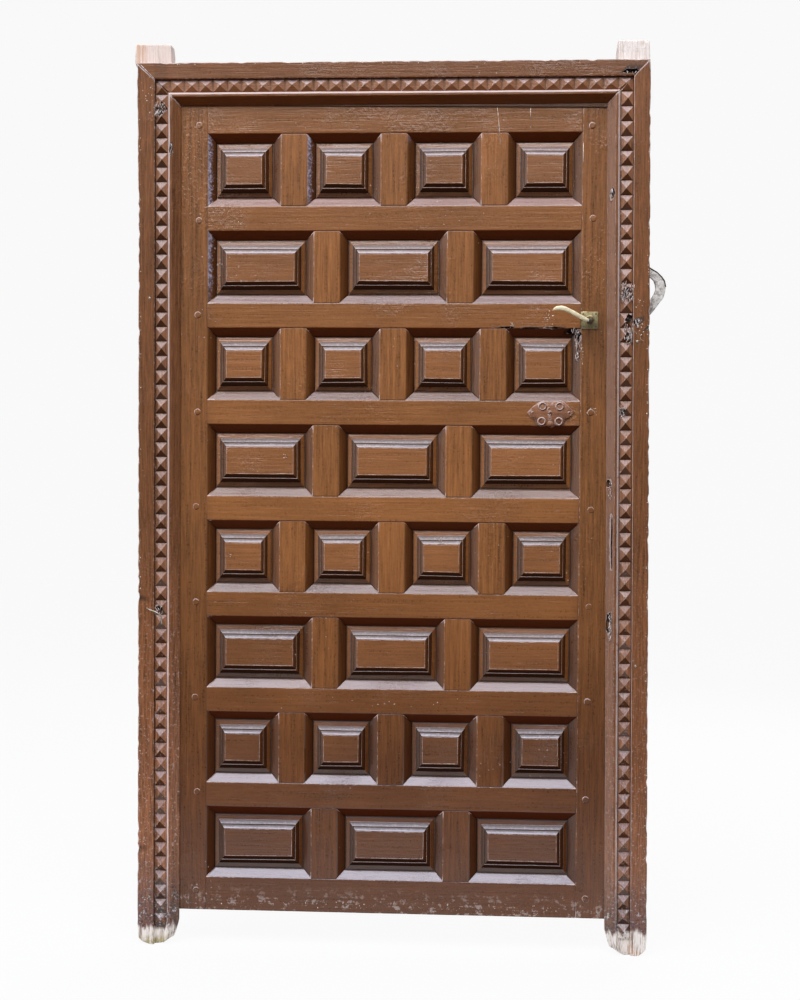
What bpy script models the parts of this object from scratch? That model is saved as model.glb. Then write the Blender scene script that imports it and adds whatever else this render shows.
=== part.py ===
"""Panelled door leaf hung in its moulded frame.

Metres, +Z up. X runs across the door to the lock side, Y from the front to the back, Z up from the feet.
The origin is on the floor line, midway between the jambs, in the plane of the frame's front face.
"""

import math

import bmesh
import bpy
from mathutils import Matrix, Vector

# Clearances
FIT = 0.0003  # between faces that seat on each other
SHOULDER_GAP = 0.0004  # between a scribed end and the bevel that it fits over
PANEL_PLAY = 0.001  # room for a panel's tongue at the bottom of its groove
RUN_GAP = 0.003  # around the edge of the leaf, inside the frame
STOP_GAP = 0.001  # between the face of the leaf and the lip of the frame
CUT_OVER = 0.002  # how far a cutter runs past the face that it opens

# Leaf
CLEAR_WIDTH = 1.000  # leaf in sight between the lips of the frame
LEAF_THICK = 0.045
STILE_SIGHT = 0.065
MUNTIN_FACE = 0.063
RAIL_FACE = 0.057
TOP_RAIL_SIGHT = 0.0645
BOTTOM_RAIL_FACE = 0.0785
RECESS_HEIGHT = 0.1695
ROW_COLUMNS = (4, 3, 4, 3, 4, 3, 4, 3)  # panels in each row, from the top
BEVEL_WIDTH = 0.021
BEVEL_DEPTH = 0.016
GROOVE_THICK = 0.0106
GROOVE_DEEP = 0.011
TENON_LENGTH = 0.070
TENON_HEIGHT = 0.060
LATCH_TENON_LENGTH = 0.014  # the one tenon that stops short of the latch case

# Panel moulding from the foot of the bevel inwards, as width and rise
PANEL_BAND = (0.0085, 0.0012)
PANEL_STEP = (0.0006, 0.0022)
PANEL_SLOPE = (0.0085, 0.0028)
PANEL_CHAMFER = (0.0100, 0.0040)
PANEL_EDGE = (0.0012, 0.0005)

# Frame
FOOT_DROP = 0.0815  # jambs below the leaf
HORN = 0.047  # jambs above the head
LIP_COVER = 0.012  # lip over the edge of the leaf
FASCIA = 0.038
CHANNEL = 0.031
FILLET = 0.010
SPLAY = 0.018
SPLAY_DEPTH = 0.015
LIP_NOSE = 0.003
HEAD_TENON_LENGTH = 0.050
HEAD_TENON_THICK = 0.022
HEAD_TENON_HEIGHT = 0.052
FOOT_CHAMFER = 0.012

# Strips of diamond points
POINT_PITCH = 0.0336
POINT_RISE = 0.0075
STRIP_BASE = 0.003
STRIP_SIDE_GAP = 0.001
STRIP_FOOT = 0.040  # bare foot of the jamb below the strip

# Lift-off hinges on the back
HINGE_INSET = 0.200  # from the top and the bottom of the leaf to a hinge
KNUCKLE_RADIUS = 0.007
KNUCKLE_LENGTH = 0.045
HINGE_PIN_RADIUS = 0.004
HINGE_PLATE_THICK = 0.003
HINGE_PLATE_REACH = 0.046
HINGE_PLATE_GAP = 0.001  # between a plate and the other half's knuckle

# Lever and latch
LATCH_RAIL = 2  # the latch is level with the rail under this row
SPINDLE_DROP = 0.010  # spindle below the middle of that rail
SPINDLE_BACKSET = 0.055
SPINDLE_SIDE = 0.008
SPINDLE_PLAY = 0.0015  # between the spindle and its hole through the stile
ROSE_SIDE = 0.040
ROSE_THICK = 0.003
COLLAR_RADIUS = 0.0115
COLLAR_RISE = 0.002
NECK_RADIUS = 0.007
NECK_LENGTH = 0.030
LEVER_STANDOFF = 0.047
LEVER_REACH = 0.087
LEVER_RISE = 0.025
LEVER_THIN = 0.0045
LEVER_THICK = 0.0060
LEVER_SWEEP = ((0.20, 0.20), (0.60, 0.84), (0.82, 1.00), (1.00, 0.84))  # parts of the reach and the rise
SOCKET_DEPTH = 0.024
LATCH_CASE_WALL = 0.0015
LATCH_CASE_THICK = 0.015
FOREND_THICK = 0.003
FOREND_WIDTH = 0.021
FOREND_MARGIN = 0.022  # forend above and below the case
BOLT_THICK = 0.0110
BOLT_HEIGHT = 0.014
BOLT_THROW = 0.011
BOLT_TAIL = 0.004
BOLT_BEVEL = 0.008  # slope on the nose that rides over the jamb as the leaf shuts
ARM_RADIUS = 0.024
ARM_WIDTH = 0.004
ARM_HOLD = 0.007  # how far the arm reaches up into the bolt
ARM_SWEEP = 0.0037  # room in the bolt for the arm to tilt
ARM_PLAY = 0.0007
KEEP_PLAY = 0.0015

# Keyhole plate
PLATE_LENGTH = 0.111
PLATE_HEIGHT = 0.053
PLATE_THICK = 0.003
PLATE_FROM_EDGE = 0.144  # middle of the plate from the lock edge of the leaf
PLATE_RAIL = 3
RING_RADIUS = 0.0105
RING_HOLE = 0.0055
RING_RISE = 0.0012
RING_PROUD = 0.0015  # how far a ring stands out past the edge of the plate
LOBE_RADIUS = 0.009

# Iron wall anchor on the lock jamb
ANCHOR_LENGTH = 0.113
ANCHOR_REACH = 0.037
ANCHOR_WAIST = 0.024  # width of the bow at its middle
ANCHOR_THICK = 0.008
ANCHOR_ABOVE_SPINDLE = 0.066

# Round faces
KNUCKLE_SIDES = 20
RING_SIDES = 16
BOW_STEPS = 14

# Sizes that follow
ROWS = len(ROW_COLUMNS)
LEAF_HALF = CLEAR_WIDTH / 2 + LIP_COVER
LEAF_BOTTOM = FOOT_DROP
ROW_PITCH = RECESS_HEIGHT + RAIL_FACE
CLEAR_TOP = LEAF_BOTTOM + BOTTOM_RAIL_FACE + ROWS * ROW_PITCH - RAIL_FACE + TOP_RAIL_SIGHT
LEAF_TOP = CLEAR_TOP + LIP_COVER
FACE = FASCIA + CHANNEL + FILLET + SPLAY
LIP_DEPTH = SPLAY_DEPTH + LIP_NOSE
LEAF_FRONT = LIP_DEPTH + STOP_GAP
LEAF_BACK = LEAF_FRONT + LEAF_THICK
POST = FACE - LIP_COVER - RUN_GAP
FRAME_HALF = CLEAR_WIDTH / 2 + FACE
HEAD_TOP = CLEAR_TOP + FACE
HORN_TOP = HEAD_TOP + HORN
CHANNEL_DEPTH = STRIP_BASE + POINT_RISE + FIT
STILE_EDGE = CLEAR_WIDTH / 2 - STILE_SIGHT  # edge of a stile's face
STILE_FOOT = STILE_EDGE - BEVEL_WIDTH  # edge of a stile behind its bevel
TONGUE_FRONT = BEVEL_DEPTH + FIT
TONGUE_BACK = BEVEL_DEPTH + GROOVE_THICK - FIT
TONGUE_REACH = GROOVE_DEEP - PANEL_PLAY
HINGE_X = -(LEAF_HALF + RUN_GAP / 2)
HINGE_Y = LEAF_BACK + FIT + KNUCKLE_RADIUS
SPINDLE_X = LEAF_HALF - SPINDLE_BACKSET
LATCH_Y = LEAF_FRONT + LEAF_THICK / 2

IRON = ((0.20, 0.19, 0.18), 0.6, 0.8)
BRASS = ((0.78, 0.68, 0.45), 0.35, 0.9)
PAINTED_WOOD = ((0.14, 0.06, 0.03), 0.35, 0.0)

parts = None
cutters = None


def start():
    """Empty the scene and make the two collections."""
    global parts, cutters
    for old in list(bpy.data.objects):
        bpy.data.objects.remove(old, do_unlink=True)
    parts = bpy.data.collections.new("panelled_door")
    cutters = bpy.data.collections.new("cutters")
    for collection in (parts, cutters):
        bpy.context.scene.collection.children.link(collection)


def empty(name, place, parent=None):
    """An empty on a joint's axis."""
    pivot = bpy.data.objects.new(name, None)
    parts.objects.link(pivot)
    pivot.location = place
    hang(pivot, parent)
    return pivot


def hang(piece, parent):
    """Parent a piece to an empty and leave it where it is."""
    if parent is None:
        return
    bpy.context.view_layer.update()
    piece.parent = parent
    piece.matrix_parent_inverse = parent.matrix_world.inverted()


def finish(piece, look):
    """Give a piece a material of its own."""
    colour, roughness, metallic = look
    material = bpy.data.materials.new(piece.name + "_finish")
    material.use_nodes = True
    shader = material.node_tree.nodes["Principled BSDF"]
    shader.inputs["Base Color"].default_value = (*colour, 1.0)
    shader.inputs["Roughness"].default_value = roughness
    shader.inputs["Metallic"].default_value = metallic
    if len(piece.material_slots) == 0:
        piece.data.materials.append(None)
    piece.material_slots[0].link = "OBJECT"
    piece.material_slots[0].material = material


def mesh_from(name, bm):
    bmesh.ops.recalc_face_normals(bm, faces=bm.faces)
    mesh = bpy.data.meshes.new(name)
    bm.to_mesh(mesh)
    bm.free()
    return mesh


def part(name, mesh, look, parent=None, place=(0, 0, 0)):
    """One finished sub-part."""
    piece = bpy.data.objects.new(name, mesh)
    parts.objects.link(piece)
    piece.location = place
    finish(piece, look)
    hang(piece, parent)
    return piece


def tool(name, bm):
    """A hidden solid that a Boolean cuts away or joins on."""
    piece = bpy.data.objects.new(name, mesh_from(name, bm))
    cutters.objects.link(piece)
    piece.hide_render = True
    piece.display_type = "WIRE"
    return piece


def boolean(piece, other, operation):
    step = piece.modifiers.new(operation.lower() + "_" + other.name, "BOOLEAN")
    step.operation = operation
    step.object = other
    step.solver = "EXACT"


def evaluated_mesh(name, piece):
    """The piece as its modifiers or its curve give it, as a mesh with its caps welded."""
    bpy.context.view_layer.update()
    graph = bpy.context.evaluated_depsgraph_get()
    mesh = bpy.data.meshes.new_from_object(piece.evaluated_get(graph))
    mesh.name = name
    bm = bmesh.new()
    bm.from_mesh(mesh)
    bmesh.ops.remove_doubles(bm, verts=bm.verts, dist=0.00001)
    bm.to_mesh(mesh)
    bm.free()
    return mesh


def add_box(bm, low, high):
    """A box between two corners."""
    low, high = Vector(low), Vector(high)
    size = Matrix.Diagonal((*(high - low), 1.0))
    bmesh.ops.create_cube(bm, size=1.0, matrix=Matrix.Translation((low + high) / 2) @ size)


def add_rod(bm, radius, start_point, end_point, sides):
    """A round bar between two points."""
    start_point, end_point = Vector(start_point), Vector(end_point)
    along = end_point - start_point
    turn = along.to_track_quat("Z", "Y").to_matrix().to_4x4()
    middle = Matrix.Translation((start_point + end_point) / 2)
    bmesh.ops.create_cone(
        bm,
        cap_ends=True,
        segments=sides,
        radius1=radius,
        radius2=radius,
        depth=along.length,
        matrix=middle @ turn,
    )


def add_bar(bm, outline, travel):
    """An outline of points, extruded along a vector."""
    face = bm.faces.new([bm.verts.new(point) for point in outline])
    grown = bmesh.ops.extrude_face_region(bm, geom=[face])
    moved = [item for item in grown["geom"] if isinstance(item, bmesh.types.BMVert)]
    bmesh.ops.translate(bm, verts=moved, vec=travel)


def box_mesh(name, low, high):
    bm = bmesh.new()
    add_box(bm, low, high)
    return mesh_from(name, bm)


def box_tool(name, low, high):
    bm = bmesh.new()
    add_box(bm, low, high)
    return tool(name, bm)


def trim(bm, point, outward):
    """Cut away what lies beyond a plane, and close the cut."""
    everything = list(bm.verts) + list(bm.edges) + list(bm.faces)
    cut = bmesh.ops.bisect_plane(
        bm, geom=everything, dist=0.000001, plane_co=point, plane_no=outward, clear_outer=True
    )
    rim = [item for item in cut["geom_cut"] if isinstance(item, bmesh.types.BMEdge)]
    bmesh.ops.edgeloop_fill(bm, edges=rim)


# Where the members of the leaf lie


def recess_bottom(row):
    return LEAF_BOTTOM + BOTTOM_RAIL_FACE + (ROWS - 1 - row) * ROW_PITCH


def rail_span(rail):
    """Lowest and highest edge of a rail's face. Rail 0 is the top one, and rail N lies under row N."""
    if rail == 0:
        return recess_bottom(0) + RECESS_HEIGHT, LEAF_TOP
    high = recess_bottom(rail - 1)
    low = LEAF_BOTTOM if rail == ROWS else high - RAIL_FACE
    return low, high


def recess_width(row):
    columns = ROW_COLUMNS[row]
    return (CLEAR_WIDTH - 2 * STILE_SIGHT - (columns - 1) * MUNTIN_FACE) / columns


def recess_middle(row, column):
    return -STILE_EDGE + recess_width(row) / 2 + column * (recess_width(row) + MUNTIN_FACE)


def muntin_middles(row):
    half = (recess_width(row) + MUNTIN_FACE) / 2
    return [recess_middle(row, column) + half for column in range(ROW_COLUMNS[row] - 1)]


def edge_profile(edge, side):
    """Bevel and panel groove on one edge of a member, as points of place across and depth."""
    foot = edge + side * BEVEL_WIDTH
    groove = foot - side * GROOVE_DEEP
    return [
        (edge, 0.0),
        (foot, BEVEL_DEPTH),
        (groove, BEVEL_DEPTH),
        (groove, BEVEL_DEPTH + GROOVE_THICK),
        (foot, BEVEL_DEPTH + GROOVE_THICK),
        (foot, LEAF_THICK),
    ]


def plain_edge(edge):
    return [(edge, 0.0), (edge, LEAF_THICK)]


def scribe_profile(edge, side, reach):
    """A member's bevelled edge, grown by the shoulder gap, to cut the end of the member that meets it."""
    over = CUT_OVER
    run_out = over * BEVEL_WIDTH / BEVEL_DEPTH
    foot = edge + side * (BEVEL_WIDTH + SHOULDER_GAP)
    return [
        (edge + side * (SHOULDER_GAP - run_out), -over),
        (foot, BEVEL_DEPTH),
        (foot, LEAF_THICK + over),
        (edge - side * reach, LEAF_THICK + over),
        (edge - side * reach, -over),
    ]


def member_outline(first_edge, last_edge):
    """Closed outline of a member from the profiles of its two edges."""
    return first_edge + last_edge[::-1]


def tenon_span(rail):
    """Lowest and highest face of a rail's tenons, midway in the wood between its grooves."""
    low, high = rail_span(rail)
    low = low if rail == ROWS else low - BEVEL_WIDTH + GROOVE_DEEP
    high = high if rail == 0 else high + BEVEL_WIDTH - GROOVE_DEEP
    middle = (low + high) / 2
    return middle - TENON_HEIGHT / 2, middle + TENON_HEIGHT / 2


def tenon_length(rail, side):
    return LATCH_TENON_LENGTH if rail == LATCH_RAIL and side > 0 else TENON_LENGTH


def depth(into):
    """World Y of a depth below the face of the leaf."""
    return LEAF_FRONT + into


# Leaf


def make_stile(name, side, parent):
    profile = member_outline(edge_profile(STILE_EDGE, -1), plain_edge(LEAF_HALF))
    bm = bmesh.new()
    add_bar(bm, [(side * x, depth(d), LEAF_BOTTOM) for x, d in profile], (0, 0, LEAF_TOP - LEAF_BOTTOM))
    stile = part(name, mesh_from(name, bm), PAINTED_WOOD, parent)
    bm = bmesh.new()
    for rail in range(ROWS + 1):
        low, high = tenon_span(rail)
        reach = STILE_FOOT + tenon_length(rail, side) + PANEL_PLAY
        inner, outer = sorted((side * (STILE_FOOT + GROOVE_DEEP / 2), side * reach))
        add_box(
            bm,
            (inner, depth(BEVEL_DEPTH), low - FIT),
            (outer, depth(BEVEL_DEPTH + GROOVE_THICK), high + FIT),
        )
    boolean(stile, tool(name + "_mortises", bm), "DIFFERENCE")
    return stile


def make_rail(rail, stile_scribe, parent):
    """A rail with its tenons, and with the muntins that stand under it."""
    name = "rail_top" if rail == 0 else "rail_bottom" if rail == ROWS else f"rail_{rail}"
    low, high = rail_span(rail)
    lower_edge = plain_edge(low) if rail == ROWS else edge_profile(low, -1)
    upper_edge = plain_edge(high) if rail == 0 else edge_profile(high, 1)
    length = 2 * STILE_EDGE
    bm = bmesh.new()
    profile = member_outline(lower_edge, upper_edge)
    add_bar(bm, [(-STILE_EDGE, depth(d), z) for z, d in profile], (length, 0, 0))
    piece = part(name, mesh_from(name, bm), PAINTED_WOOD, parent)
    if rail < ROWS:
        add_muntins(piece, rail)
    boolean(piece, stile_scribe, "DIFFERENCE")
    boolean(piece, rail_tongues(name, rail), "UNION")
    return piece


def add_muntins(piece, row):
    """Join the muntins of a row to the rail above them and scribe their feet to the rail below."""
    top = sum(rail_span(row)) / 2
    foot = recess_bottom(row) - RAIL_FACE / 2
    bm = bmesh.new()
    for middle in muntin_middles(row):
        half = MUNTIN_FACE / 2
        profile = member_outline(edge_profile(middle - half, -1), edge_profile(middle + half, 1))
        add_bar(bm, [(x, depth(d), foot) for x, d in profile], (0, 0, top - foot))
    boolean(piece, tool(piece.name + "_muntins", bm), "UNION")
    bm = bmesh.new()
    profile = scribe_profile(recess_bottom(row), 1, RAIL_FACE)
    add_bar(bm, [(-LEAF_HALF, depth(d), z) for z, d in profile], (2 * LEAF_HALF, 0, 0))
    boolean(piece, tool(piece.name + "_foot_scribe", bm), "DIFFERENCE")


def rail_tongues(name, rail):
    """Tenons at the ends of a rail, and the stub tongues at the feet of its muntins."""
    rooted = GROOVE_DEEP
    low, high = tenon_span(rail)
    bm = bmesh.new()
    for side in (-1, 1):
        reach = STILE_FOOT + tenon_length(rail, side)
        inner, outer = sorted((side * (STILE_FOOT - rooted), side * reach))
        add_box(bm, (inner, depth(TONGUE_FRONT), low), (outer, depth(TONGUE_BACK), high))
    if rail < ROWS:
        half = MUNTIN_FACE / 2 + BEVEL_WIDTH - GROOVE_DEEP - PANEL_PLAY
        foot = recess_bottom(rail) + BEVEL_WIDTH
        for middle in muntin_middles(rail):
            add_box(
                bm,
                (middle - half, depth(TONGUE_FRONT), foot - TONGUE_REACH),
                (middle + half, depth(TONGUE_BACK), foot + rooted),
            )
    return tool(name + "_tongues", bm)


def make_stile_scribe():
    bm = bmesh.new()
    height = LEAF_TOP - LEAF_BOTTOM + 2 * CUT_OVER
    for side in (-1, 1):
        profile = scribe_profile(STILE_EDGE, -1, STILE_SIGHT)
        add_bar(bm, [(side * x, depth(d), LEAF_BOTTOM - CUT_OVER) for x, d in profile], (0, 0, height))
    return tool("stile_scribe", bm)


def panel_mesh(name, width, height):
    """A raised panel, its moulding drawn in and up step by step from the front of its tongue."""
    half = Vector((width / 2 + TONGUE_REACH, 0, height / 2 + TONGUE_REACH))
    bm = bmesh.new()
    add_box(bm, (-half.x, 0, -half.z), (half.x, TONGUE_BACK - TONGUE_FRONT, half.z))
    bmesh.ops.recalc_face_normals(bm, faces=bm.faces)
    front = min(bm.faces, key=lambda face: face.calc_center_median().y)
    moulding = (PANEL_BAND, PANEL_STEP, PANEL_SLOPE, PANEL_CHAMFER, PANEL_EDGE)
    for inset, rise in ((TONGUE_REACH, 0.0), *moulding):
        bmesh.ops.inset_region(bm, faces=[front], thickness=inset, depth=rise, use_even_offset=True)
    return mesh_from(name, bm)


def make_panels(parent):
    height = RECESS_HEIGHT - 2 * BEVEL_WIDTH
    meshes = {}
    for row, columns in enumerate(ROW_COLUMNS):
        if columns not in meshes:
            meshes[columns] = panel_mesh(f"panel_of_{columns}", recess_width(row) - 2 * BEVEL_WIDTH, height)
        middle = recess_bottom(row) + RECESS_HEIGHT / 2
        for column in range(columns):
            place = (recess_middle(row, column), depth(TONGUE_FRONT), middle)
            part(f"panel_{row + 1}_{column + 1}", meshes[columns], PAINTED_WOOD, parent, place)


# Frame


def moulding_outline():
    """Front of a frame member, as points of place from its outer edge and depth."""
    inner = FASCIA + CHANNEL
    return [
        (0.0, 0.0),
        (FASCIA, 0.0),
        (FASCIA, CHANNEL_DEPTH),
        (inner, CHANNEL_DEPTH),
        (inner, 0.0),
        (inner + FILLET, 0.0),
        (FACE, SPLAY_DEPTH),
        (FACE, LIP_DEPTH),
    ]


def head_tenon(side, grow):
    """Corners of the head's tenon at one end, grown on every face for its mortise."""
    root = FRAME_HALF - POST
    middle_y = (LIP_DEPTH + LEAF_BACK) / 2
    middle_z = HEAD_TOP - POST / 2
    near, far = sorted((side * (root - HEAD_TENON_THICK), side * (root + HEAD_TENON_LENGTH + grow)))
    low = (near, middle_y - HEAD_TENON_THICK / 2 - grow, middle_z - HEAD_TENON_HEIGHT / 2 - grow)
    high = (far, middle_y + HEAD_TENON_THICK / 2 + grow, middle_z + HEAD_TENON_HEIGHT / 2 + grow)
    return low, high


def make_jamb(name, side):
    outline = moulding_outline() + [(POST, LIP_DEPTH), (POST, LEAF_BACK), (0.0, LEAF_BACK)]
    bm = bmesh.new()
    add_bar(bm, [(side * (FRAME_HALF - u), y, 0.0) for u, y in outline], (0, 0, HORN_TOP))
    bmesh.ops.recalc_face_normals(bm, faces=bm.faces)
    corner = Vector((side * FRAME_HALF, 0, FOOT_CHAMFER))
    inner_corner = Vector((side * CLEAR_WIDTH / 2, LEAF_BACK, FOOT_CHAMFER))
    for point, outward in (
        (corner, (side, 0, -1)),
        (corner, (0, -1, -1)),
        (inner_corner, (-side, 0, -1)),
        (inner_corner, (0, 1, -1)),
    ):
        trim(bm, point, outward)
    jamb = part(name, mesh_from(name, bm), PAINTED_WOOD)
    boolean(jamb, mitre_tool(name, side), "DIFFERENCE")
    boolean(jamb, box_tool(name + "_mortise", *head_tenon(side, FIT)), "DIFFERENCE")
    return jamb


def mitre_tool(name, side):
    """What the mitred face of the head takes the place of on a jamb."""
    gap = 2 * FIT
    inner = CLEAR_WIDTH / 2 - CUT_OVER
    outer = FRAME_HALF + CUT_OVER
    slope_start = CLEAR_TOP - CUT_OVER - gap
    slope_end = HEAD_TOP + CUT_OVER - gap
    top = HORN_TOP + CUT_OVER
    corners = [(inner, slope_start), (outer, slope_end), (outer, top), (inner, top)]
    bm = bmesh.new()
    add_bar(bm, [(side * x, -CUT_OVER, z) for x, z in corners], (0, LIP_DEPTH + FIT + CUT_OVER, 0))
    return tool(name + "_mitre", bm)


def make_head():
    outline = moulding_outline() + [(0.0, LIP_DEPTH)]
    bm = bmesh.new()
    add_bar(bm, [(-FRAME_HALF, y, HEAD_TOP - v) for v, y in outline], (2 * FRAME_HALF, 0, 0))
    bmesh.ops.recalc_face_normals(bm, faces=bm.faces)
    for side in (-1, 1):
        trim(bm, (side * FRAME_HALF, 0, HEAD_TOP), (side, 0, -1))
    head = part("frame_head", mesh_from("frame_head", bm), PAINTED_WOOD)
    root = FRAME_HALF - POST - FIT
    seat = (CHANNEL_DEPTH + LIP_DEPTH) / 2
    body = box_tool("frame_head_body", (-root, seat, HEAD_TOP - POST), (root, LEAF_BACK, HEAD_TOP))
    boolean(head, body, "UNION")
    bm = bmesh.new()
    for side in (-1, 1):
        add_box(bm, *head_tenon(side, 0.0))
    boolean(head, tool("frame_head_tenons", bm), "UNION")
    return head


def strip_mesh(name, length, count, ends):
    """A bar along X with a row of diamond points on its front, trimmed at planes through its ends."""
    half = CHANNEL / 2 - STRIP_SIDE_GAP
    bm = bmesh.new()
    bmesh.ops.create_grid(bm, x_segments=count, y_segments=1, size=0.5)
    bmesh.ops.scale(bm, verts=bm.verts, vec=(length, 2 * half, 1))
    bmesh.ops.rotate(bm, verts=bm.verts, cent=(0, 0, 0), matrix=Matrix.Rotation(math.pi / 2, 3, "X"))
    bmesh.ops.poke(bm, faces=bm.faces, offset=POINT_RISE)
    rim = [edge for edge in bm.edges if edge.is_boundary]
    grown = bmesh.ops.extrude_edge_only(bm, edges=rim)["geom"]
    moved = [item for item in grown if isinstance(item, bmesh.types.BMVert)]
    bmesh.ops.translate(bm, verts=moved, vec=(0, STRIP_BASE, 0))
    bmesh.ops.holes_fill(bm, edges=[edge for edge in bm.edges if edge.is_boundary], sides=0)
    bmesh.ops.recalc_face_normals(bm, faces=bm.faces)
    for point, outward in ends:
        trim(bm, point, outward)
    return mesh_from(name, bm)


def make_strips():
    half = CHANNEL / 2 - STRIP_SIDE_GAP
    inset = FASCIA + CHANNEL / 2
    seat = STRIP_BASE + FIT
    front = CHANNEL_DEPTH - seat
    head_half = FRAME_HALF - inset + half
    count = round(2 * head_half / POINT_PITCH)
    gap = FIT
    ends = [((side * (head_half - half - gap), 0, 0), (side, 0, -1)) for side in (-1, 1)]
    mesh = strip_mesh("strip_head", 2 * head_half, count, ends)
    part("strip_head", mesh, PAINTED_WOOD, None, (0, front, HEAD_TOP - inset))
    top = HEAD_TOP - inset + half
    length = top - STRIP_FOOT
    count = round(length / POINT_PITCH)
    for name, side in (("strip_hinge", -1), ("strip_lock", 1)):
        end = ((length / 2 - half - gap, 0, 0), (1, 0, side))
        strip = part(name, strip_mesh(name, length, count, [end]), PAINTED_WOOD)
        strip.location = (side * (FRAME_HALF - inset), front, STRIP_FOOT + length / 2)
        strip.rotation_euler = (0, -math.pi / 2, 0)


def make_anchor(spindle_z):
    """Bowed iron loop, both ends on the outer edge of the lock jamb."""
    middle = spindle_z + ANCHOR_ABOVE_SPINDLE
    near = FRAME_HALF + FIT
    half = ANCHOR_LENGTH / 2
    inner_half = half - ANCHOR_WAIST / 2
    turns = [math.pi * (step / BOW_STEPS - 0.5) for step in range(BOW_STEPS + 1)]
    outer = [(near + ANCHOR_REACH * math.cos(t), middle + half * math.sin(t)) for t in turns]
    inner_reach = ANCHOR_REACH - ANCHOR_WAIST
    inner = [(near + inner_reach * math.cos(t), middle + inner_half * math.sin(t)) for t in turns]
    bm = bmesh.new()
    front = (LEAF_BACK - ANCHOR_THICK) / 2
    add_bar(bm, [(x, front, z) for x, z in outer + inner[::-1]], (0, ANCHOR_THICK, 0))
    part("wall_anchor", mesh_from("wall_anchor", bm), IRON)


# Hinges


def hinge_half_mesh(name, side):
    """Half of a hinge round its axis, the meeting plane of the knuckles at Z = 0. Side 1 is on the leaf."""
    bm = bmesh.new()
    add_rod(bm, KNUCKLE_RADIUS, (0, 0, side * FIT / 2), (0, 0, side * KNUCKLE_LENGTH), KNUCKLE_SIDES)
    half = bpy.data.objects.new(name, mesh_from(name, bm))
    parts.objects.link(half)
    flat = -KNUCKLE_RADIUS * math.cos(math.pi / KNUCKLE_SIDES)
    clear = KNUCKLE_RADIUS + HINGE_PLATE_GAP
    outline = [
        (0, FIT / 2),
        (clear, FIT / 2),
        (clear, -KNUCKLE_LENGTH),
        (HINGE_PLATE_REACH, -KNUCKLE_LENGTH),
        (HINGE_PLATE_REACH, KNUCKLE_LENGTH),
        (0, KNUCKLE_LENGTH),
    ]
    bm = bmesh.new()
    add_bar(bm, [(side * x, flat, side * z) for x, z in outline], (0, HINGE_PLATE_THICK, 0))
    helpers = [tool(name + "_plate", bm)]
    boolean(half, helpers[0], "UNION")
    bm = bmesh.new()
    if side > 0:
        bore = HINGE_PIN_RADIUS + FIT
        add_rod(bm, bore, (0, 0, -CUT_OVER), (0, 0, KNUCKLE_LENGTH + CUT_OVER), KNUCKLE_SIDES)
        operation = "DIFFERENCE"
    else:
        tip = KNUCKLE_LENGTH - HINGE_PIN_RADIUS
        add_rod(bm, HINGE_PIN_RADIUS, (0, 0, -KNUCKLE_LENGTH / 2), (0, 0, tip), KNUCKLE_SIDES)
        operation = "UNION"
    helpers.append(tool(name + "_pin", bm))
    boolean(half, helpers[-1], operation)
    mesh = evaluated_mesh(name, half)
    for used in (half, *helpers):
        bpy.data.objects.remove(used, do_unlink=True)
    return mesh


def make_hinges(parent):
    leaf_mesh = hinge_half_mesh("hinge_leaf_half", 1)
    frame_mesh = hinge_half_mesh("hinge_frame_half", -1)
    heights = {
        "low": LEAF_BOTTOM + HINGE_INSET,
        "mid": (LEAF_BOTTOM + LEAF_TOP) / 2,
        "top": LEAF_TOP - HINGE_INSET,
    }
    for level, height in heights.items():
        place = (HINGE_X, HINGE_Y, height)
        part(f"hinge_{level}_leaf", leaf_mesh, IRON, parent, place)
        part(f"hinge_{level}_frame", frame_mesh, IRON, None, place)


# Lever and latch


def lever_mesh(name, face, outward):
    """A neck out of the rose and a blade that sweeps away and up, round the spindle's axis."""
    curve = bpy.data.curves.new(name, "CURVE")
    curve.dimensions = "3D"
    curve.bevel_depth = 1.0
    curve.bevel_resolution = 2
    curve.resolution_u = 5
    curve.use_fill_caps = True
    points = [
        (0, FIT, 0, NECK_RADIUS),
        (0, NECK_LENGTH, 0, NECK_RADIUS),
    ]
    for (along, up), radius in zip(LEVER_SWEEP, (LEVER_THIN, LEVER_THICK, LEVER_THICK, LEVER_THIN)):
        points.append((-along * LEVER_REACH, LEVER_STANDOFF, up * LEVER_RISE, radius))
    spline = curve.splines.new("BEZIER")
    spline.bezier_points.add(len(points) - 1)
    for knot, (x, out, z, radius) in zip(spline.bezier_points, points):
        knot.co = (x, face + outward * out, z)
        knot.radius = radius
        knot.handle_left_type = knot.handle_right_type = "AUTO"
    spline.bezier_points[0].handle_right_type = "VECTOR"
    spline.bezier_points[1].handle_left_type = "VECTOR"
    wire = bpy.data.objects.new(name, curve)
    cutters.objects.link(wire)
    mesh = evaluated_mesh(name, wire)
    bpy.data.objects.remove(wire, do_unlink=True)
    return mesh


def make_levers(spindle_z, parent):
    half = SPINDLE_SIDE / 2 + FIT
    for name, face, outward in (("outside", LEAF_FRONT, -1), ("inside", LEAF_BACK, 1)):
        lever = part(
            "lever_" + name,
            lever_mesh("lever_" + name, face, outward),
            BRASS,
            parent,
            (SPINDLE_X, 0, spindle_z),
        )
        near, far = sorted((face - outward * CUT_OVER, face + outward * (SOCKET_DEPTH + FIT)))
        socket = box_tool(
            f"lever_{name}_socket",
            (SPINDLE_X - half, near, spindle_z - half),
            (SPINDLE_X + half, far, spindle_z + half),
        )
        boolean(lever, socket, "DIFFERENCE")


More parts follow.
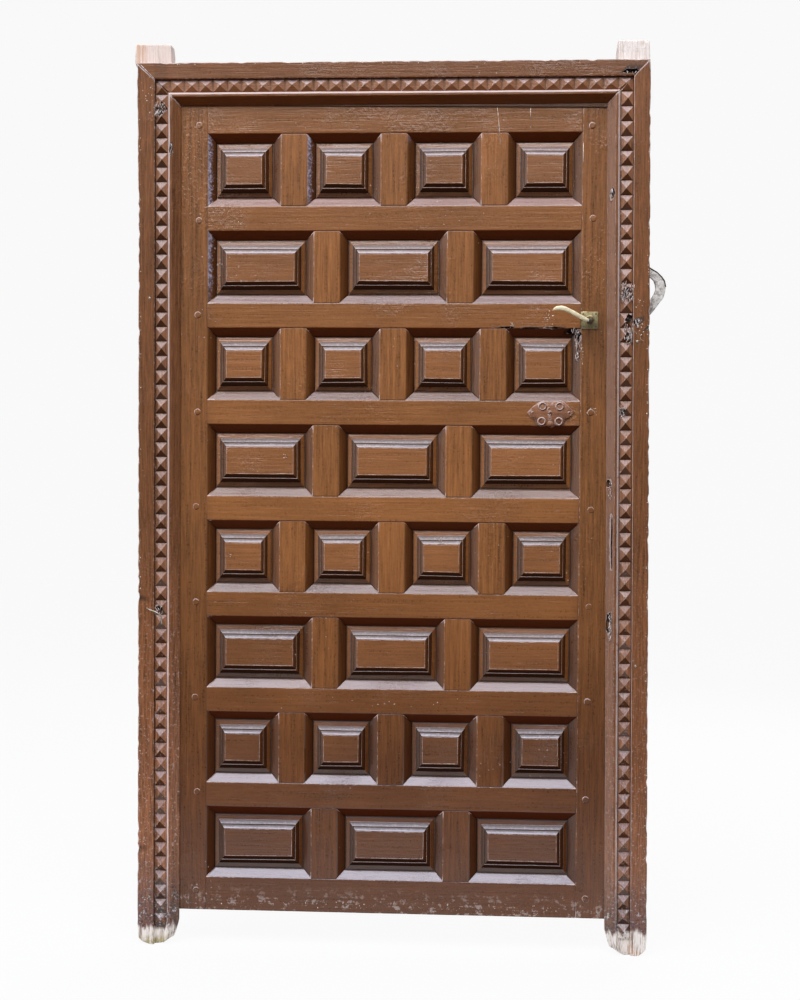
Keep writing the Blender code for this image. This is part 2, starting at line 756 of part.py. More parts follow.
def make_roses(spindle_z, parent):
    half = ROSE_SIDE / 2
    for name, face, outward in (("outside", LEAF_FRONT, -1), ("inside", LEAF_BACK, 1)):
        near = face + outward * FIT
        far = near + outward * ROSE_THICK
        low, high = sorted((near, far))
        mesh = box_mesh(
            "rose_" + name,
            (SPINDLE_X - half, low, spindle_z - half),
            (SPINDLE_X + half, high, spindle_z + half),
        )
        rose = part("rose_" + name, mesh, BRASS, parent)
        middle = (near + far) / 2
        bm = bmesh.new()
        collar_end = far + outward * COLLAR_RISE
        collar = (SPINDLE_X, middle, spindle_z), (SPINDLE_X, collar_end, spindle_z)
        add_rod(bm, COLLAR_RADIUS, *collar, KNUCKLE_SIDES)
        boolean(rose, tool(f"rose_{name}_collar", bm), "UNION")
        bm = bmesh.new()
        hole_start = (SPINDLE_X, near - outward * CUT_OVER, spindle_z)
        hole_end = (SPINDLE_X, collar_end + outward * CUT_OVER, spindle_z)
        add_rod(bm, NECK_RADIUS + FIT, hole_start, hole_end, KNUCKLE_SIDES)
        boolean(rose, tool(f"rose_{name}_hole", bm), "DIFFERENCE")


def make_spindle(spindle_z, parent):
    """Square bar between the two levers, with the arm that draws the bolt."""
    half = SPINDLE_SIDE / 2
    front = LEAF_FRONT - SOCKET_DEPTH
    back = LEAF_BACK + SOCKET_DEPTH
    low = (SPINDLE_X - half, front, spindle_z - half)
    high = (SPINDLE_X + half, back, spindle_z + half)
    spindle = part("spindle", box_mesh("spindle", low, high), IRON, parent)
    arm = ARM_WIDTH / 2
    arm_tool = box_tool(
        "spindle_arm",
        (SPINDLE_X - arm, LATCH_Y - BOLT_THICK / 2, spindle_z),
        (SPINDLE_X + arm, LATCH_Y + BOLT_THICK / 2, spindle_z + ARM_RADIUS),
    )
    boolean(spindle, arm_tool, "UNION")


def latch_sizes(spindle_z):
    """Bolt and case of the latch, as the ranges that the other pieces share."""
    bolt_low = spindle_z + ARM_RADIUS - ARM_HOLD
    tail = SPINDLE_X - ARM_WIDTH / 2 - ARM_SWEEP - BOLT_TAIL
    case_low = spindle_z - SPINDLE_SIDE - SPINDLE_PLAY
    case_high = bolt_low + BOLT_HEIGHT + FIT + LATCH_CASE_WALL
    case_back = tail - BOLT_THROW - ARM_PLAY - LATCH_CASE_WALL
    return bolt_low, tail, case_low - LATCH_CASE_WALL, case_high, case_back


def make_bolt(spindle_z, parent):
    bolt_low, tail, _, _, _ = latch_sizes(spindle_z)
    front = LATCH_Y - BOLT_THICK / 2
    back = LATCH_Y + BOLT_THICK / 2
    nose = LEAF_HALF + BOLT_THROW
    bm = bmesh.new()
    add_box(bm, (tail, front, bolt_low), (nose, back, bolt_low + BOLT_HEIGHT))
    trim(bm, (nose - BOLT_BEVEL, front, bolt_low), (1, -1, 0))
    bolt = part("latch_bolt", mesh_from("latch_bolt", bm), BRASS, parent)
    notch = box_tool(
        "latch_bolt_notch",
        (tail + BOLT_TAIL, front - CUT_OVER, bolt_low - CUT_OVER),
        (SPINDLE_X + ARM_WIDTH / 2 + ARM_PLAY, back + CUT_OVER, bolt_low + ARM_HOLD + ARM_PLAY),
    )
    boolean(bolt, notch, "DIFFERENCE")


def make_latch_case(spindle_z, stile, parent):
    """Tray let into the edge of the lock stile, closed by its forend and open to the back."""
    bolt_low, _, low, high, back_end = latch_sizes(spindle_z)
    wall = LATCH_CASE_WALL
    front = LATCH_Y - LATCH_CASE_THICK / 2
    back = LATCH_Y + LATCH_CASE_THICK / 2
    forend = LEAF_HALF - FOREND_THICK
    case = part(
        "latch_case",
        box_mesh("latch_case", (back_end, front, low), (forend + FOREND_THICK / 2, back, high)),
        IRON,
        parent,
    )
    plate_corners = (
        (forend, LATCH_Y - FOREND_WIDTH / 2, low - FOREND_MARGIN),
        (LEAF_HALF, LATCH_Y + FOREND_WIDTH / 2, high + FOREND_MARGIN),
    )
    boolean(case, box_tool("latch_forend", *plate_corners), "UNION")
    hollow = box_tool(
        "latch_hollow",
        (back_end + wall, LATCH_Y - BOLT_THICK / 2 - FIT, low + wall),
        (forend - wall, back + CUT_OVER, high - wall),
    )
    boolean(case, hollow, "DIFFERENCE")
    mouth = box_tool(
        "latch_mouth",
        (forend - 2 * wall, LATCH_Y - BOLT_THICK / 2 - FIT, bolt_low - FIT),
        (LEAF_HALF + CUT_OVER, LATCH_Y + BOLT_THICK / 2 + FIT, bolt_low + BOLT_HEIGHT + FIT),
    )
    boolean(case, mouth, "DIFFERENCE")
    bm = bmesh.new()
    hole = SPINDLE_SIDE / math.sqrt(2) + SPINDLE_PLAY
    ends = [(SPINDLE_X, y, spindle_z) for y in (LEAF_FRONT - CUT_OVER, LEAF_BACK + CUT_OVER)]
    add_rod(bm, hole, *ends, KNUCKLE_SIDES)
    spindle_hole = tool("spindle_hole", bm)
    boolean(case, spindle_hole, "DIFFERENCE")
    pocket = box_tool(
        "latch_pocket",
        (back_end - FIT, front - FIT, low - FIT),
        (LEAF_HALF + CUT_OVER, back + FIT, high + FIT),
    )
    seat = box_tool(
        "latch_forend_seat",
        (forend - FIT, plate_corners[0][1] - FIT, plate_corners[0][2] - FIT),
        (LEAF_HALF + CUT_OVER, plate_corners[1][1] + FIT, plate_corners[1][2] + FIT),
    )
    for cut in (pocket, seat, spindle_hole):
        boolean(stile, cut, "DIFFERENCE")


def cut_keep(jamb, spindle_z):
    """Slot for the bolt in the lock jamb, open to the back."""
    bolt_low = latch_sizes(spindle_z)[0]
    inner = FRAME_HALF - POST
    keep = box_tool(
        "latch_keep",
        (inner - CUT_OVER, LATCH_Y - BOLT_THICK / 2 - KEEP_PLAY, bolt_low - KEEP_PLAY),
        (LEAF_HALF + BOLT_THROW + KEEP_PLAY, LEAF_BACK + CUT_OVER, bolt_low + BOLT_HEIGHT + KEEP_PLAY),
    )
    boolean(jamb, keep, "DIFFERENCE")


# Keyhole plate


def make_escutcheon(parent):
    """Plate with pointed ends, four pierced rings, and lobes above and below."""
    x = LEAF_HALF - PLATE_FROM_EDGE
    z = sum(rail_span(PLATE_RAIL)) / 2
    back = LEAF_FRONT - FIT
    front = back - PLATE_THICK
    half_long, half_high = PLATE_LENGTH / 2, PLATE_HEIGHT / 2
    shoulder = half_long - half_high
    outline = [
        (-half_long, 0),
        (-shoulder, -half_high),
        (shoulder, -half_high),
        (half_long, 0),
        (shoulder, half_high),
        (-shoulder, half_high),
    ]
    bm = bmesh.new()
    add_bar(bm, [(x + dx, front, z + dz) for dx, dz in outline], (0, PLATE_THICK, 0))
    plate = part("escutcheon", mesh_from("escutcheon", bm), IRON, parent)
    ring_x, ring_z = shoulder - RING_RADIUS / 2, half_high - RING_RADIUS + RING_PROUD
    places = [(x + side * ring_x, z + level * ring_z) for side in (-1, 1) for level in (-1, 1)]
    bm = bmesh.new()
    for px, pz in places:
        add_rod(bm, RING_RADIUS, (px, back, pz), (px, front - RING_RISE, pz), RING_SIDES)
    boolean(plate, tool("escutcheon_rings", bm), "UNION")
    bm = bmesh.new()
    for level in (-1, 1):
        lobe_z = z + level * (half_high - LOBE_RADIUS / 2)
        add_rod(bm, LOBE_RADIUS, (x, back, lobe_z), (x, front - RING_RISE / 2, lobe_z), RING_SIDES)
    boolean(plate, tool("escutcheon_lobes", bm), "UNION")
    bm = bmesh.new()
    for px, pz in places:
        start_point = (px, back + CUT_OVER, pz)
        add_rod(bm, RING_HOLE, start_point, (px, front - CUT_OVER - RING_RISE, pz), RING_SIDES)
    boolean(plate, tool("escutcheon_holes", bm), "DIFFERENCE")


def main():
    start()
    spindle_z = sum(rail_span(LATCH_RAIL)) / 2 - SPINDLE_DROP
    leaf = empty("leaf_swing", (HINGE_X, HINGE_Y, LEAF_BOTTOM))
    turn = empty("lever_turn", (SPINDLE_X, LATCH_Y, spindle_z), leaf)
    make_stile("stile_hinge", -1, leaf)
    lock_stile = make_stile("stile_lock", 1, leaf)
    stile_scribe = make_stile_scribe()
    for rail in range(ROWS + 1):
        make_rail(rail, stile_scribe, leaf)
    make_panels(leaf)
    make_jamb("jamb_hinge", -1)
    lock_jamb = make_jamb("jamb_lock", 1)
    make_head()
    make_strips()
    make_anchor(spindle_z)
    make_hinges(leaf)
    make_roses(spindle_z, leaf)
    make_levers(spindle_z, turn)
    make_spindle(spindle_z, turn)
    make_bolt(spindle_z, leaf)
    make_latch_case(spindle_z, lock_stile, leaf)
    cut_keep(lock_jamb, spindle_z)
    make_escutcheon(leaf)
    print(f"{len([piece for piece in parts.objects if piece.type == 'MESH'])} sub-parts")


main()
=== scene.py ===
# %% [markdown]
# # A panelled door in its frame
# The door is an old house door, painted brown many times. Eight rows of raised panels, square and oblong by
# turns, sit in bevelled rails and uprights. The frame round it is mitred and has a strip of diamond points.
# The measured model comes in first. Every piece below is made in the same metres and the same place, so
# nothing has to be fitted by eye. The noise that makes boards uneven starts from the clock unless it is given
# a seed, so it gets one here, and every run makes the same door.

# %% Load the measured model
import math
import random
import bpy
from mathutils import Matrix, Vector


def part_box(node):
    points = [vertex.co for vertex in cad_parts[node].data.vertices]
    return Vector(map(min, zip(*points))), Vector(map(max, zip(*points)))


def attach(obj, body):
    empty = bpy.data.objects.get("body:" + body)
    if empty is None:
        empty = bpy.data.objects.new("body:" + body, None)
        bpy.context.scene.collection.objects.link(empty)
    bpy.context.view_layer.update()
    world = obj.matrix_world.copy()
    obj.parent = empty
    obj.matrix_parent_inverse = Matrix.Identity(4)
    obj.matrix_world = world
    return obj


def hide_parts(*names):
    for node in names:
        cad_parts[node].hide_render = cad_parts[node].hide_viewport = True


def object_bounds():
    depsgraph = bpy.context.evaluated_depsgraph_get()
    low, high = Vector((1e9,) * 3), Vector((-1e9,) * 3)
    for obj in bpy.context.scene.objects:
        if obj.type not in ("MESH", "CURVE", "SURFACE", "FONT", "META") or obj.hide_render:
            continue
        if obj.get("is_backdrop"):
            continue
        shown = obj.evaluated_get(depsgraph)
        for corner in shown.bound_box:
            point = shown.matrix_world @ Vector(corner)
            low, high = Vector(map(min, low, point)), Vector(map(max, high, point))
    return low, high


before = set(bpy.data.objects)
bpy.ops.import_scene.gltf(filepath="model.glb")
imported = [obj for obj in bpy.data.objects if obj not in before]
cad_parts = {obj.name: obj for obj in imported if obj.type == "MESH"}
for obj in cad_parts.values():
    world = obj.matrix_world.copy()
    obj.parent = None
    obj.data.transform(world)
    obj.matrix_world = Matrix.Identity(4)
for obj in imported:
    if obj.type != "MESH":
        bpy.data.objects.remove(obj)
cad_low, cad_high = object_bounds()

from types import SimpleNamespace

import bmesh
import bpy
from mathutils import Matrix, Vector, noise

noise.seed_set(1)

# %% [markdown]
# ## Sizes
# A joiner sets a door out on a rod, one lath with every width marked on it. These values are that rod. The
# faces of the leaf and the frame are read from the model, and the rest are the widths between them.

# %% The setting-out rod
leaf_low, leaf_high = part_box("stile_hinge")
face_y, back_y = leaf_low.y, leaf_high.y
leaf_bottom, leaf_top, leaf_half = leaf_low.z, leaf_high.z, -leaf_low.x
bevel_width, bevel_depth = 0.021, 0.016
stile_edge = 0.4385
muntin_face, rail_face = 0.0595, 0.057
recess_height = 0.1695
row_columns = (4, 3, 4, 3, 4, 3, 4, 3)
last_row = len(row_columns) - 1
lowest_recess = leaf_bottom + 0.0785
row_pitch = recess_height + rail_face


def recess_bottom(row):
    return lowest_recess + (last_row - row) * row_pitch


def recess_width(row):
    columns = row_columns[row]
    return (2 * stile_edge - (columns - 1) * muntin_face) / columns


def recess_middle(row, column):
    return -stile_edge + recess_width(row) / 2 + column * (recess_width(row) + muntin_face)


print(f"face at {face_y:.4f}, leaf {leaf_bottom:.4f} to {leaf_top:.4f}")

# %% [markdown]
# ## A wire that can do sums
# A finish is a net of nodes. Written node by node it is long and hard to read, so one small class holds an
# output socket and knows the sums. `1 - mask` then adds a Math node and gives the wire that leaves it. Every
# other node comes from the one method `node`, which sets the node's settings first and its sockets after.


# %% The wire class
class Wire:
    """An output socket of a finish, for sums in plain Python."""

    def __init__(self, tree, socket=None):
        self.tree = tree
        self.socket = socket

    def node(self, kind, settings=None, sockets=None, out=0):
        made = self.tree.nodes.new(kind)
        for name, value in (settings or {}).items():
            setattr(made, name, value)
        for name, value in (sockets or {}).items():
            if isinstance(value, Wire):
                self.tree.links.new(value.socket, made.inputs[name])
            else:
                made.inputs[name].default_value = value
        return Wire(self.tree, made.outputs[out])

    def sums(self, operation, first, second):
        return self.node("ShaderNodeMath", {"operation": operation}, {0: first, 1: second})

    def __add__(self, other):
        return self.sums("ADD", self, other)

    def __sub__(self, other):
        return self.sums("SUBTRACT", self, other)

    def __rsub__(self, other):
        return self.sums("SUBTRACT", other, self)

    def __mul__(self, other):
        return self.sums("MULTIPLY", self, other)

    __radd__ = __add__
    __rmul__ = __mul__


print("sums: add, subtract, multiply")

# %% [markdown]
# ## Tools for finishes
# A painter thinks in a few moves: fade from one colour to another, let a stain come in softly, break a tone
# up with grain. Each move is a short function on wires.


# %% Painter's moves
def new_finish(name, **constants):
    """A material, its shader node, and a bare wire on its net."""
    finish = bpy.data.materials.new(name)
    finish.use_nodes = True
    shader = finish.node_tree.nodes["Principled BSDF"]
    for socket, value in constants.items():
        shader.inputs[socket.replace("_", " ")].default_value = value
    return finish, shader, Wire(finish.node_tree)


def connect(shader, **wires):
    for socket, wire in wires.items():
        wire.tree.links.new(wire.socket, shader.inputs[socket.replace("_", " ")])


def axes(wire):
    first = wire.node("ShaderNodeSeparateXYZ", sockets={0: wire})
    return [Wire(wire.tree, socket) for socket in first.socket.node.outputs]


def joined(x, y, z):
    tree_of = next(part for part in (x, y, z) if isinstance(part, Wire))
    return tree_of.node("ShaderNodeCombineXYZ", sockets={0: x, 1: y, 2: z})


def fade(value, low, high):
    """0 below low and 1 above high, with a soft way between. High may be the lower one."""
    settings = {"interpolation_type": "SMOOTHSTEP"}
    if low < high:
        return value.node("ShaderNodeMapRange", settings, {0: value, 1: low, 2: high, 3: 0.0, 4: 1.0})
    return value.node("ShaderNodeMapRange", settings, {0: value, 1: high, 2: low, 3: 1.0, 4: 0.0})


def colour(red, green, blue):
    return (red, green, blue, 1.0)


def tint(first, second, share):
    """From the first colour to the second, by the share."""
    return share.node("ShaderNodeMix", {"data_type": "RGBA"}, {0: share, 6: first, 7: second}, out=2)


def shade(tone, amount):
    return tone.node("ShaderNodeVectorMath", {"operation": "SCALE"}, {0: tone, "Scale": amount})


def cloud(vector, scale, detail=3.0, roughness=0.55):
    sockets = {"Vector": vector, "Scale": scale, "Detail": detail, "Roughness": roughness}
    return vector.node("ShaderNodeTexNoise", None, sockets)


def bumps(height, strength, distance):
    return height.node("ShaderNodeBump", None, {"Height": height, "Strength": strength, "Distance": distance})


print("moves: fade, tint, shade, cloud, bumps")

# %% [markdown]
# ## Brown gloss paint
# The paint is old oil gloss on coarse softwood. Seen close it has brush and grain streaks along each board,
# edges rubbed pale and paler still where they face up or left as a painted highlight, dirt and painted shade in
# the corners, a pale painted sky sheen on the slopes that look up, and a painted shade tone on the slopes that
# look down. A picture could be laid on the boards, but it would stretch. Sums on the place of each point hold at
# any distance. Each mesh carries an attribute called `make`: how rubbed, how dirty and shaded, whether the grain
# stands upright, and a number for the board. The first helper gathers all that is known of a point, and each
# helper after it lays one coat.


# %% What the paint knows of a point
def known_of_point(pot):
    """The place and slope of a point, what its mesh says of it, and the clouds of grain that it lies in."""
    spot = SimpleNamespace(place=pot.node("ShaderNodeTexCoord", out="Object"))
    spot.x, spot.y, spot.z = axes(spot.place)
    spot.side, _, spot.lean = axes(pot.node("ShaderNodeTexCoord", out="Normal"))
    spot.up = fade(spot.lean, 0.18, 0.55)
    spot.down = fade(spot.lean, -0.06, -0.30)
    make = pot.node("ShaderNodeAttribute", {"attribute_name": "make"}, out="Color")
    spot.worn, spot.dirt, spot.upright = axes(make)
    spot.board = Wire(pot.tree, make.socket.node.outputs["Alpha"])

    along = spot.z * spot.upright + spot.x * (1 - spot.upright)
    across = spot.x * spot.upright + spot.z * (1 - spot.upright)
    spot.streaks = cloud(joined(along * 6.0 + spot.board * 40.0, across * 170.0, spot.y * 90.0), 1.0, 4.0, 0.62)
    spot.fibres = cloud(joined(along * 24.0 + spot.board * 13.0, across * 420.0, spot.y * 300.0), 1.0, 3.0, 0.6)
    splits = cloud(joined(along * 9.0 + spot.board * 71.0, across * 230.0, spot.y * 40.0), 1.0, 2.0, 0.5)
    spot.cracks = fade(splits, 0.300, 0.275)
    spot.stains = cloud(spot.place, 3.4, 4.0, 0.6)
    spot.flecks = cloud(spot.place, 190.0, 3.0, 0.6)
    spot.chips = cloud(spot.place, 75.0, 4.0, 0.7)
    return spot


# %% Base tone and slopes
def grained(spot, low_tone, high_tone):
    """The tone by height, broken by the grain, and lighter in the middle of the leaf, where the faces that look up
    are made darker to temper their painted sky sheen.
    """
    tone = tint(low_tone, high_tone, fade(spot.z + spot.stains * 0.5, 0.35, 1.35))
    grain = spot.streaks * 0.70 + spot.stains * 0.60 + spot.flecks * 0.42 + spot.fibres * 0.50
    standing = spot.upright * (spot.streaks + spot.fibres * 0.8 - 0.9) * 0.8
    tone = shade(tone, grain + spot.board * 0.16 + standing - 0.19)
    inner = fade(spot.x * spot.x, 0.20, 0.17)
    lighter_middle = fade(spot.z, 0.50, 0.90) * fade(spot.z, 1.68, 1.42) * inner
    high_muntins = spot.upright * inner * fade(spot.z, 1.45, 1.75)
    return shade(tone, 1 + lighter_middle * (0.24 - spot.up * 0.55) + high_muntins * 0.20)


def sloped(spot, tone, underside_shade, sheen_strength):
    """Painted sky sheen on what looks up, a painted shade tone on what looks down, painted shade in the
    recesses, and a crust with a painted lilac sheen high up.
    """
    # A pale sky sheen is painted on the faces that look up, stronger low down and high up: painted reflection.
    sheen_by_height = fade(spot.z, 0.95, 0.25) * 0.36 + fade(spot.z, 1.40, 1.55) * 0.12
    painted_sky_sheen = spot.up * (1 - spot.dirt) * (sheen_strength + spot.streaks * 0.35 - 0.14 + sheen_by_height)
    tone = tint(tone, colour(0.42, 0.40, 0.50), painted_sky_sheen)
    # What looks down takes a deep painted shade tone.
    tone = tint(tone, underside_shade, spot.down * 0.92)
    inside = fade(spot.y, 0.0195, 0.021)
    deep = fade(spot.y, 0.021, 0.034)
    rightward = fade(spot.side, 0.15, 0.45) * inside
    leftward = fade(spot.side, -0.25, -0.5) * inside
    shadow = rightward * (0.61 + deep * 0.30) + leftward * (0.50 + deep * 0.30)
    tone = tint(tone, colour(0.050, 0.014, 0.005), shadow)
    # High on the left sides of the recesses: a crumbly crust, painted with a pale lilac sheen.
    high_left = fade(spot.z - spot.x * 0.8, 1.84, 1.95)
    crumbs = fade(spot.chips * 0.6 + spot.flecks * 1.1 - deep * 0.75, 0.34, 0.84)
    crust_and_sheen = rightward * high_left * spot.upright * crumbs
    crust_sheen_tone = tint(colour(0.20, 0.15, 0.18), colour(0.50, 0.45, 0.55), fade(spot.flecks, 0.38, 0.72))
    return tint(tone, crust_sheen_tone, crust_and_sheen * 0.8), crust_and_sheen


# %% Years of use
def used(spot, tone):
    """Hair cracks, soot and painted shade in the corners, edges rubbed to the undercoat and paler where they face
    up or left as a painted highlight, and splashes.
    """
    tone = shade(tone, 1 - spot.cracks * 0.10)
    soot_and_shade = spot.dirt * fade(spot.flecks + spot.dirt * 0.5, 0.45, 0.85)
    tone = tint(tone, colour(0.016, 0.007, 0.004), soot_and_shade * 0.9)
    # Edges that face up or left are rubbed paler: a painted highlight on top of real wear.
    lit_rim = fade(spot.lean, 0.06, 0.30) + fade(spot.side, -0.10, -0.35) * 1.1
    wear_and_rim_light = spot.worn * (0.43 + lit_rim * 0.27)
    rubbed_and_lit = fade(wear_and_rim_light + spot.chips * 0.62 + spot.flecks * 0.30, 0.84, 1.0)
    tone = tint(tone, colour(0.58, 0.45, 0.42), rubbed_and_lit * 0.85)
    drops = tone.node("ShaderNodeTexVoronoi", None, {"Vector": spot.place, "Scale": 62.0}, out="Distance")
    splash = fade(drops + spot.flecks * 0.35 - cloud(spot.place, 6.0, 2.0) * 0.62, -0.115, -0.15)
    tone = tint(tone, colour(0.60, 0.48, 0.42), splash * (1 - spot.down) * 0.4)
    return tone, soot_and_shade, rubbed_and_lit, splash


# %% The frame out in the weather
def weathered(spot, tone, ragged):
    """What only the frame has: raised fibres low down, tones by side with a painted sheen on the right splay,
    painted shade on what looks down made deeper on the jambs and lighter on the head, and a grey, speckled lower
    end whose slopes are painted light where they look up and dark elsewhere.
    """
    x, z, flecks, chips = spot.x, spot.z, spot.flecks, spot.chips
    low = fade(z, 1.2, 0.4)
    tone = shade(tone, 1 + (spot.fibres - 0.5) * (0.6 + low * 0.9))
    tone = tint(tone, colour(0.45, 0.34, 0.32), low * fade(flecks + chips * 0.5, 0.84, 0.92) * 0.6)
    left_channel = fade(x, -0.526, -0.534) * fade(x, -0.564, -0.556)
    tone = shade(tone, 1 - left_channel * 0.20)
    tone = shade(tone, 1 + fade(z, 1.2, 0.6) * fade(x, 0.0, -0.3) * 0.22)
    # The right splay, which looks left, takes a pale painted sheen.
    right_splay_sheen = fade(spot.side, -0.25, -0.5) * fade(x, 0.3, 0.4)
    tone = tint(tone, colour(0.30, 0.175, 0.130), right_splay_sheen * 0.36)
    # Painted shade on what looks down: deeper on the jambs, lighter on the head.
    head, jambs = fade(z, 2.000, 2.012), fade(x * x, 0.271, 0.274)
    tone = shade(tone, 1 + spot.down * (head * 0.5 - jambs * 0.35))
    grey = fade(z + spot.stains * 0.20, 0.36, 0.15)
    tilted = fade(spot.side * spot.side + spot.lean * spot.lean, 0.03, 0.12)
    # Low down, the slopes of the points are painted light where they look up and dark elsewhere: painted light and
    # shade.
    lit_and_shaded_facets = tint(colour(0.060, 0.045, 0.043), colour(0.58, 0.49, 0.50), spot.up)
    grey_with_facet_light = tint(colour(0.105, 0.062, 0.066), lit_and_shaded_facets, tilted)
    tone = tint(tone, grey_with_facet_light, grey * (0.40 + fade(chips, 0.40, 0.58) * 0.5))
    speckled = fade(z + ragged * 0.14, 0.27, 0.11)
    tone = shade(tone, 1 - speckled * fade(flecks + chips * 0.5, 0.74, 0.60) * 0.60)
    return tint(tone, colour(0.74, 0.66, 0.66), speckled * fade(chips * 0.8 + flecks * 0.5, 0.70, 0.82) * 0.85)


def bare_wood(spot, ragged):
    """The raw wood of horns and feet: its tone, where it is bare, and its fibres."""
    x, z = spot.x, spot.z
    foot = fade(z + ragged * 0.05 - x * 0.012, 0.080, 0.066)
    horn = fade(z + ragged * 0.010, 2.079, 2.0835) * fade(x * x, 0.255, 0.262)
    fibre = cloud(joined(x * 260.0, spot.y * 260.0, z * 12.0), 1.0, 4.0, 0.65)
    dark = tint(colour(0.62, 0.50, 0.44), colour(0.22, 0.135, 0.09), foot)
    horn_tone = tint(colour(0.75, 0.61, 0.55), colour(0.84, 0.75, 0.70), fade(x, -0.1, 0.1))
    pale = tint(horn_tone, colour(0.94, 0.85, 0.79), foot)
    wood = tint(dark, pale, fade(fibre, 0.32, 0.53))
    moss = fade(z + ragged * 0.03, 0.044, 0.022) * fade(x, 0.1, -0.1)
    wood = tint(wood, colour(0.40, 0.33, 0.13), moss * fade(fibre + spot.chips * 0.5, 1.0, 0.6))
    left_horn = fade(x + ragged * 0.01, -0.566, -0.584) * fade(z, 2.0, 2.05)
    right_foot = fade(x + z + ragged * 0.02, 0.615, 0.590) * fade(x, 0.55, 0.57) * fade(z, 0.05, 0.02)
    wood = tint(wood, colour(0.62, 0.34, 0.20), (left_horn + right_foot) * fade(fibre, 0.58, 0.40) * 0.7)
    return wood, foot + horn, fibre


# %% The paint
# Shine of the dull coat put on faces in painted shade.
shaded_coat_shine = 0.03
relief_strength, relief_height = 0.55, 0.0017


def brown_paint(name, low_tone, high_tone, underside_shade, shine, sheen_strength, bare_ends):
    finish, shader, pot = new_finish(name, Specular_IOR_Level=shine)
    spot = known_of_point(pot)
    tone, crust_and_sheen = sloped(spot, grained(spot, low_tone, high_tone), underside_shade, sheen_strength)
    tone, soot_and_shade, rubbed_and_lit, splash = used(spot, tone)
    rough = 0.17 + spot.streaks * 0.14 + spot.flecks * 0.12 + rubbed_and_lit * 0.3 + soot_and_shade * 0.35 + crust_and_sheen * 0.3
    coarse = fade(cloud(spot.place, 5.5, 2.0), 0.50, 0.66)
    pebbles = fade(cloud(joined(spot.x * 120.0, spot.y * 90.0, spot.z * 80.0), 1.0, 2.0, 0.5), 0.45, 0.70)
    height = spot.streaks * 0.8 + spot.fibres * (0.35 + coarse * 0.8)
    height = height + spot.flecks * (0.30 + coarse * 0.6) + pebbles * (0.12 + coarse * 0.5)
    height = height + crust_and_sheen * spot.chips * 3.0 - spot.cracks * 0.5 - rubbed_and_lit * 0.5 + splash * 0.4
    if bare_ends:
        ragged = cloud(joined(spot.x * 90.0, spot.y * 90.0, spot.z * 9.0), 1.0, 3.0)
        wood, bare, fibre = bare_wood(spot, ragged)
        tone = tint(weathered(spot, tone, ragged), wood, bare)
        rough = rough + bare * 0.5
        height = height + bare * fibre * 3.0
    else:
        scuffed = fade(spot.z, 0.150, 0.088) * fade(spot.chips + spot.streaks * 0.4, 0.74, 0.84)
        tone = tint(tone, colour(0.42, 0.33, 0.30), scuffed * 0.75)
    connect(shader, Base_Color=tone, Roughness=rough, Normal=bumps(height, relief_strength, relief_height))
    return finish


def two_coats(name, tones, shine, sheen_strength, bare_ends=False):
    """A glossy coat, and a copy without its shine for the faces that look down or look right inside a recess:
    painted shade.
    """
    glossy = brown_paint(name, *tones, shine, sheen_strength, bare_ends)
    return [glossy, brown_paint(name + "_shaded_coat", *tones, shaded_coat_shine, sheen_strength, bare_ends)]


# Each set of tones is the tone near the ground, the tone high up, and the painted shade tone of what looks down.
leaf_tones = colour(0.116, 0.036, 0.010), colour(0.228, 0.086, 0.025), colour(0.072, 0.011, 0.0015)
panel_tones = leaf_tones[0], colour(0.238, 0.090, 0.028), colour(0.026, 0.0045, 0.001)
frame_tones = colour(0.225, 0.086, 0.038), colour(0.185, 0.070, 0.026), colour(0.105, 0.026, 0.006)
plate_tones = colour(0.225, 0.092, 0.045), colour(0.225, 0.092, 0.045), leaf_tones[2]
strip_tones = colour(0.270, 0.113, 0.055), colour(0.270, 0.115, 0.055), colour(0.135, 0.050, 0.022)
# The last numbers are the shine and the strength of the painted sky sheen on what looks up.
leaf_paint = two_coats("leaf_paint", leaf_tones, 0.62, 0.10)
panel_paint = two_coats("panel_paint", panel_tones, 0.80, 0.60)
frame_paint = two_coats("frame_paint", frame_tones, 0.48, 0.14, True)
plate_paint = two_coats("plate_paint", plate_tones, 0.55, 0.05)
strip_paint = two_coats("strip_paint", strip_tones, 0.50, 0.17, True)
print("paints:", [paint.name for paint in leaf_paint + panel_paint + frame_paint + plate_paint + strip_paint])

# %% [markdown]
# ## Torn wood and its places
# The right side of the frame has been forced and nailed many times. Where wood is gone, the hollow has to be
# real, because paint alone would look flat from the side. Each blow is a place and a size. A ragged ball of
# that size is cut out of the board, and the cut shows torn wood, nearly black inside with pale fibres at its
# rim.


# %% Torn wood
def fibrous(name, dark, pale, low, high):
    finish, shader, pot = new_finish(name, Roughness=0.85, Specular_IOR_Level=0.2)
    place = pot.node("ShaderNodeTexCoord", out="Object")
    x, y, z = axes(place)
    fibre = cloud(joined(x * 240.0, y * 240.0, z * 45.0), 1.0, 4.0, 0.65)
    patches = cloud(place, 160.0, 3.0, 0.6)
    tone = tint(dark, pale, fade(fibre * 0.7 + patches * 0.5, low, high))
    connect(shader, Base_Color=tone, Normal=bumps(fibre + patches, 0.6, 0.0010))
    return finish


torn_wood = fibrous("torn_wood", colour(0.018, 0.008, 0.005), colour(0.30, 0.20, 0.17), 0.62, 0.80)
splinter_wood = fibrous("splinter_wood", colour(0.20, 0.11, 0.08), colour(0.86, 0.76, 0.72), 0.50, 0.66)
paint_drip = fibrous("paint_drip", colour(0.34, 0.22, 0.16), colour(0.80, 0.70, 0.62), 0.46, 0.70)
print("woods:", torn_wood.name, splinter_wood.name, paint_drip.name)

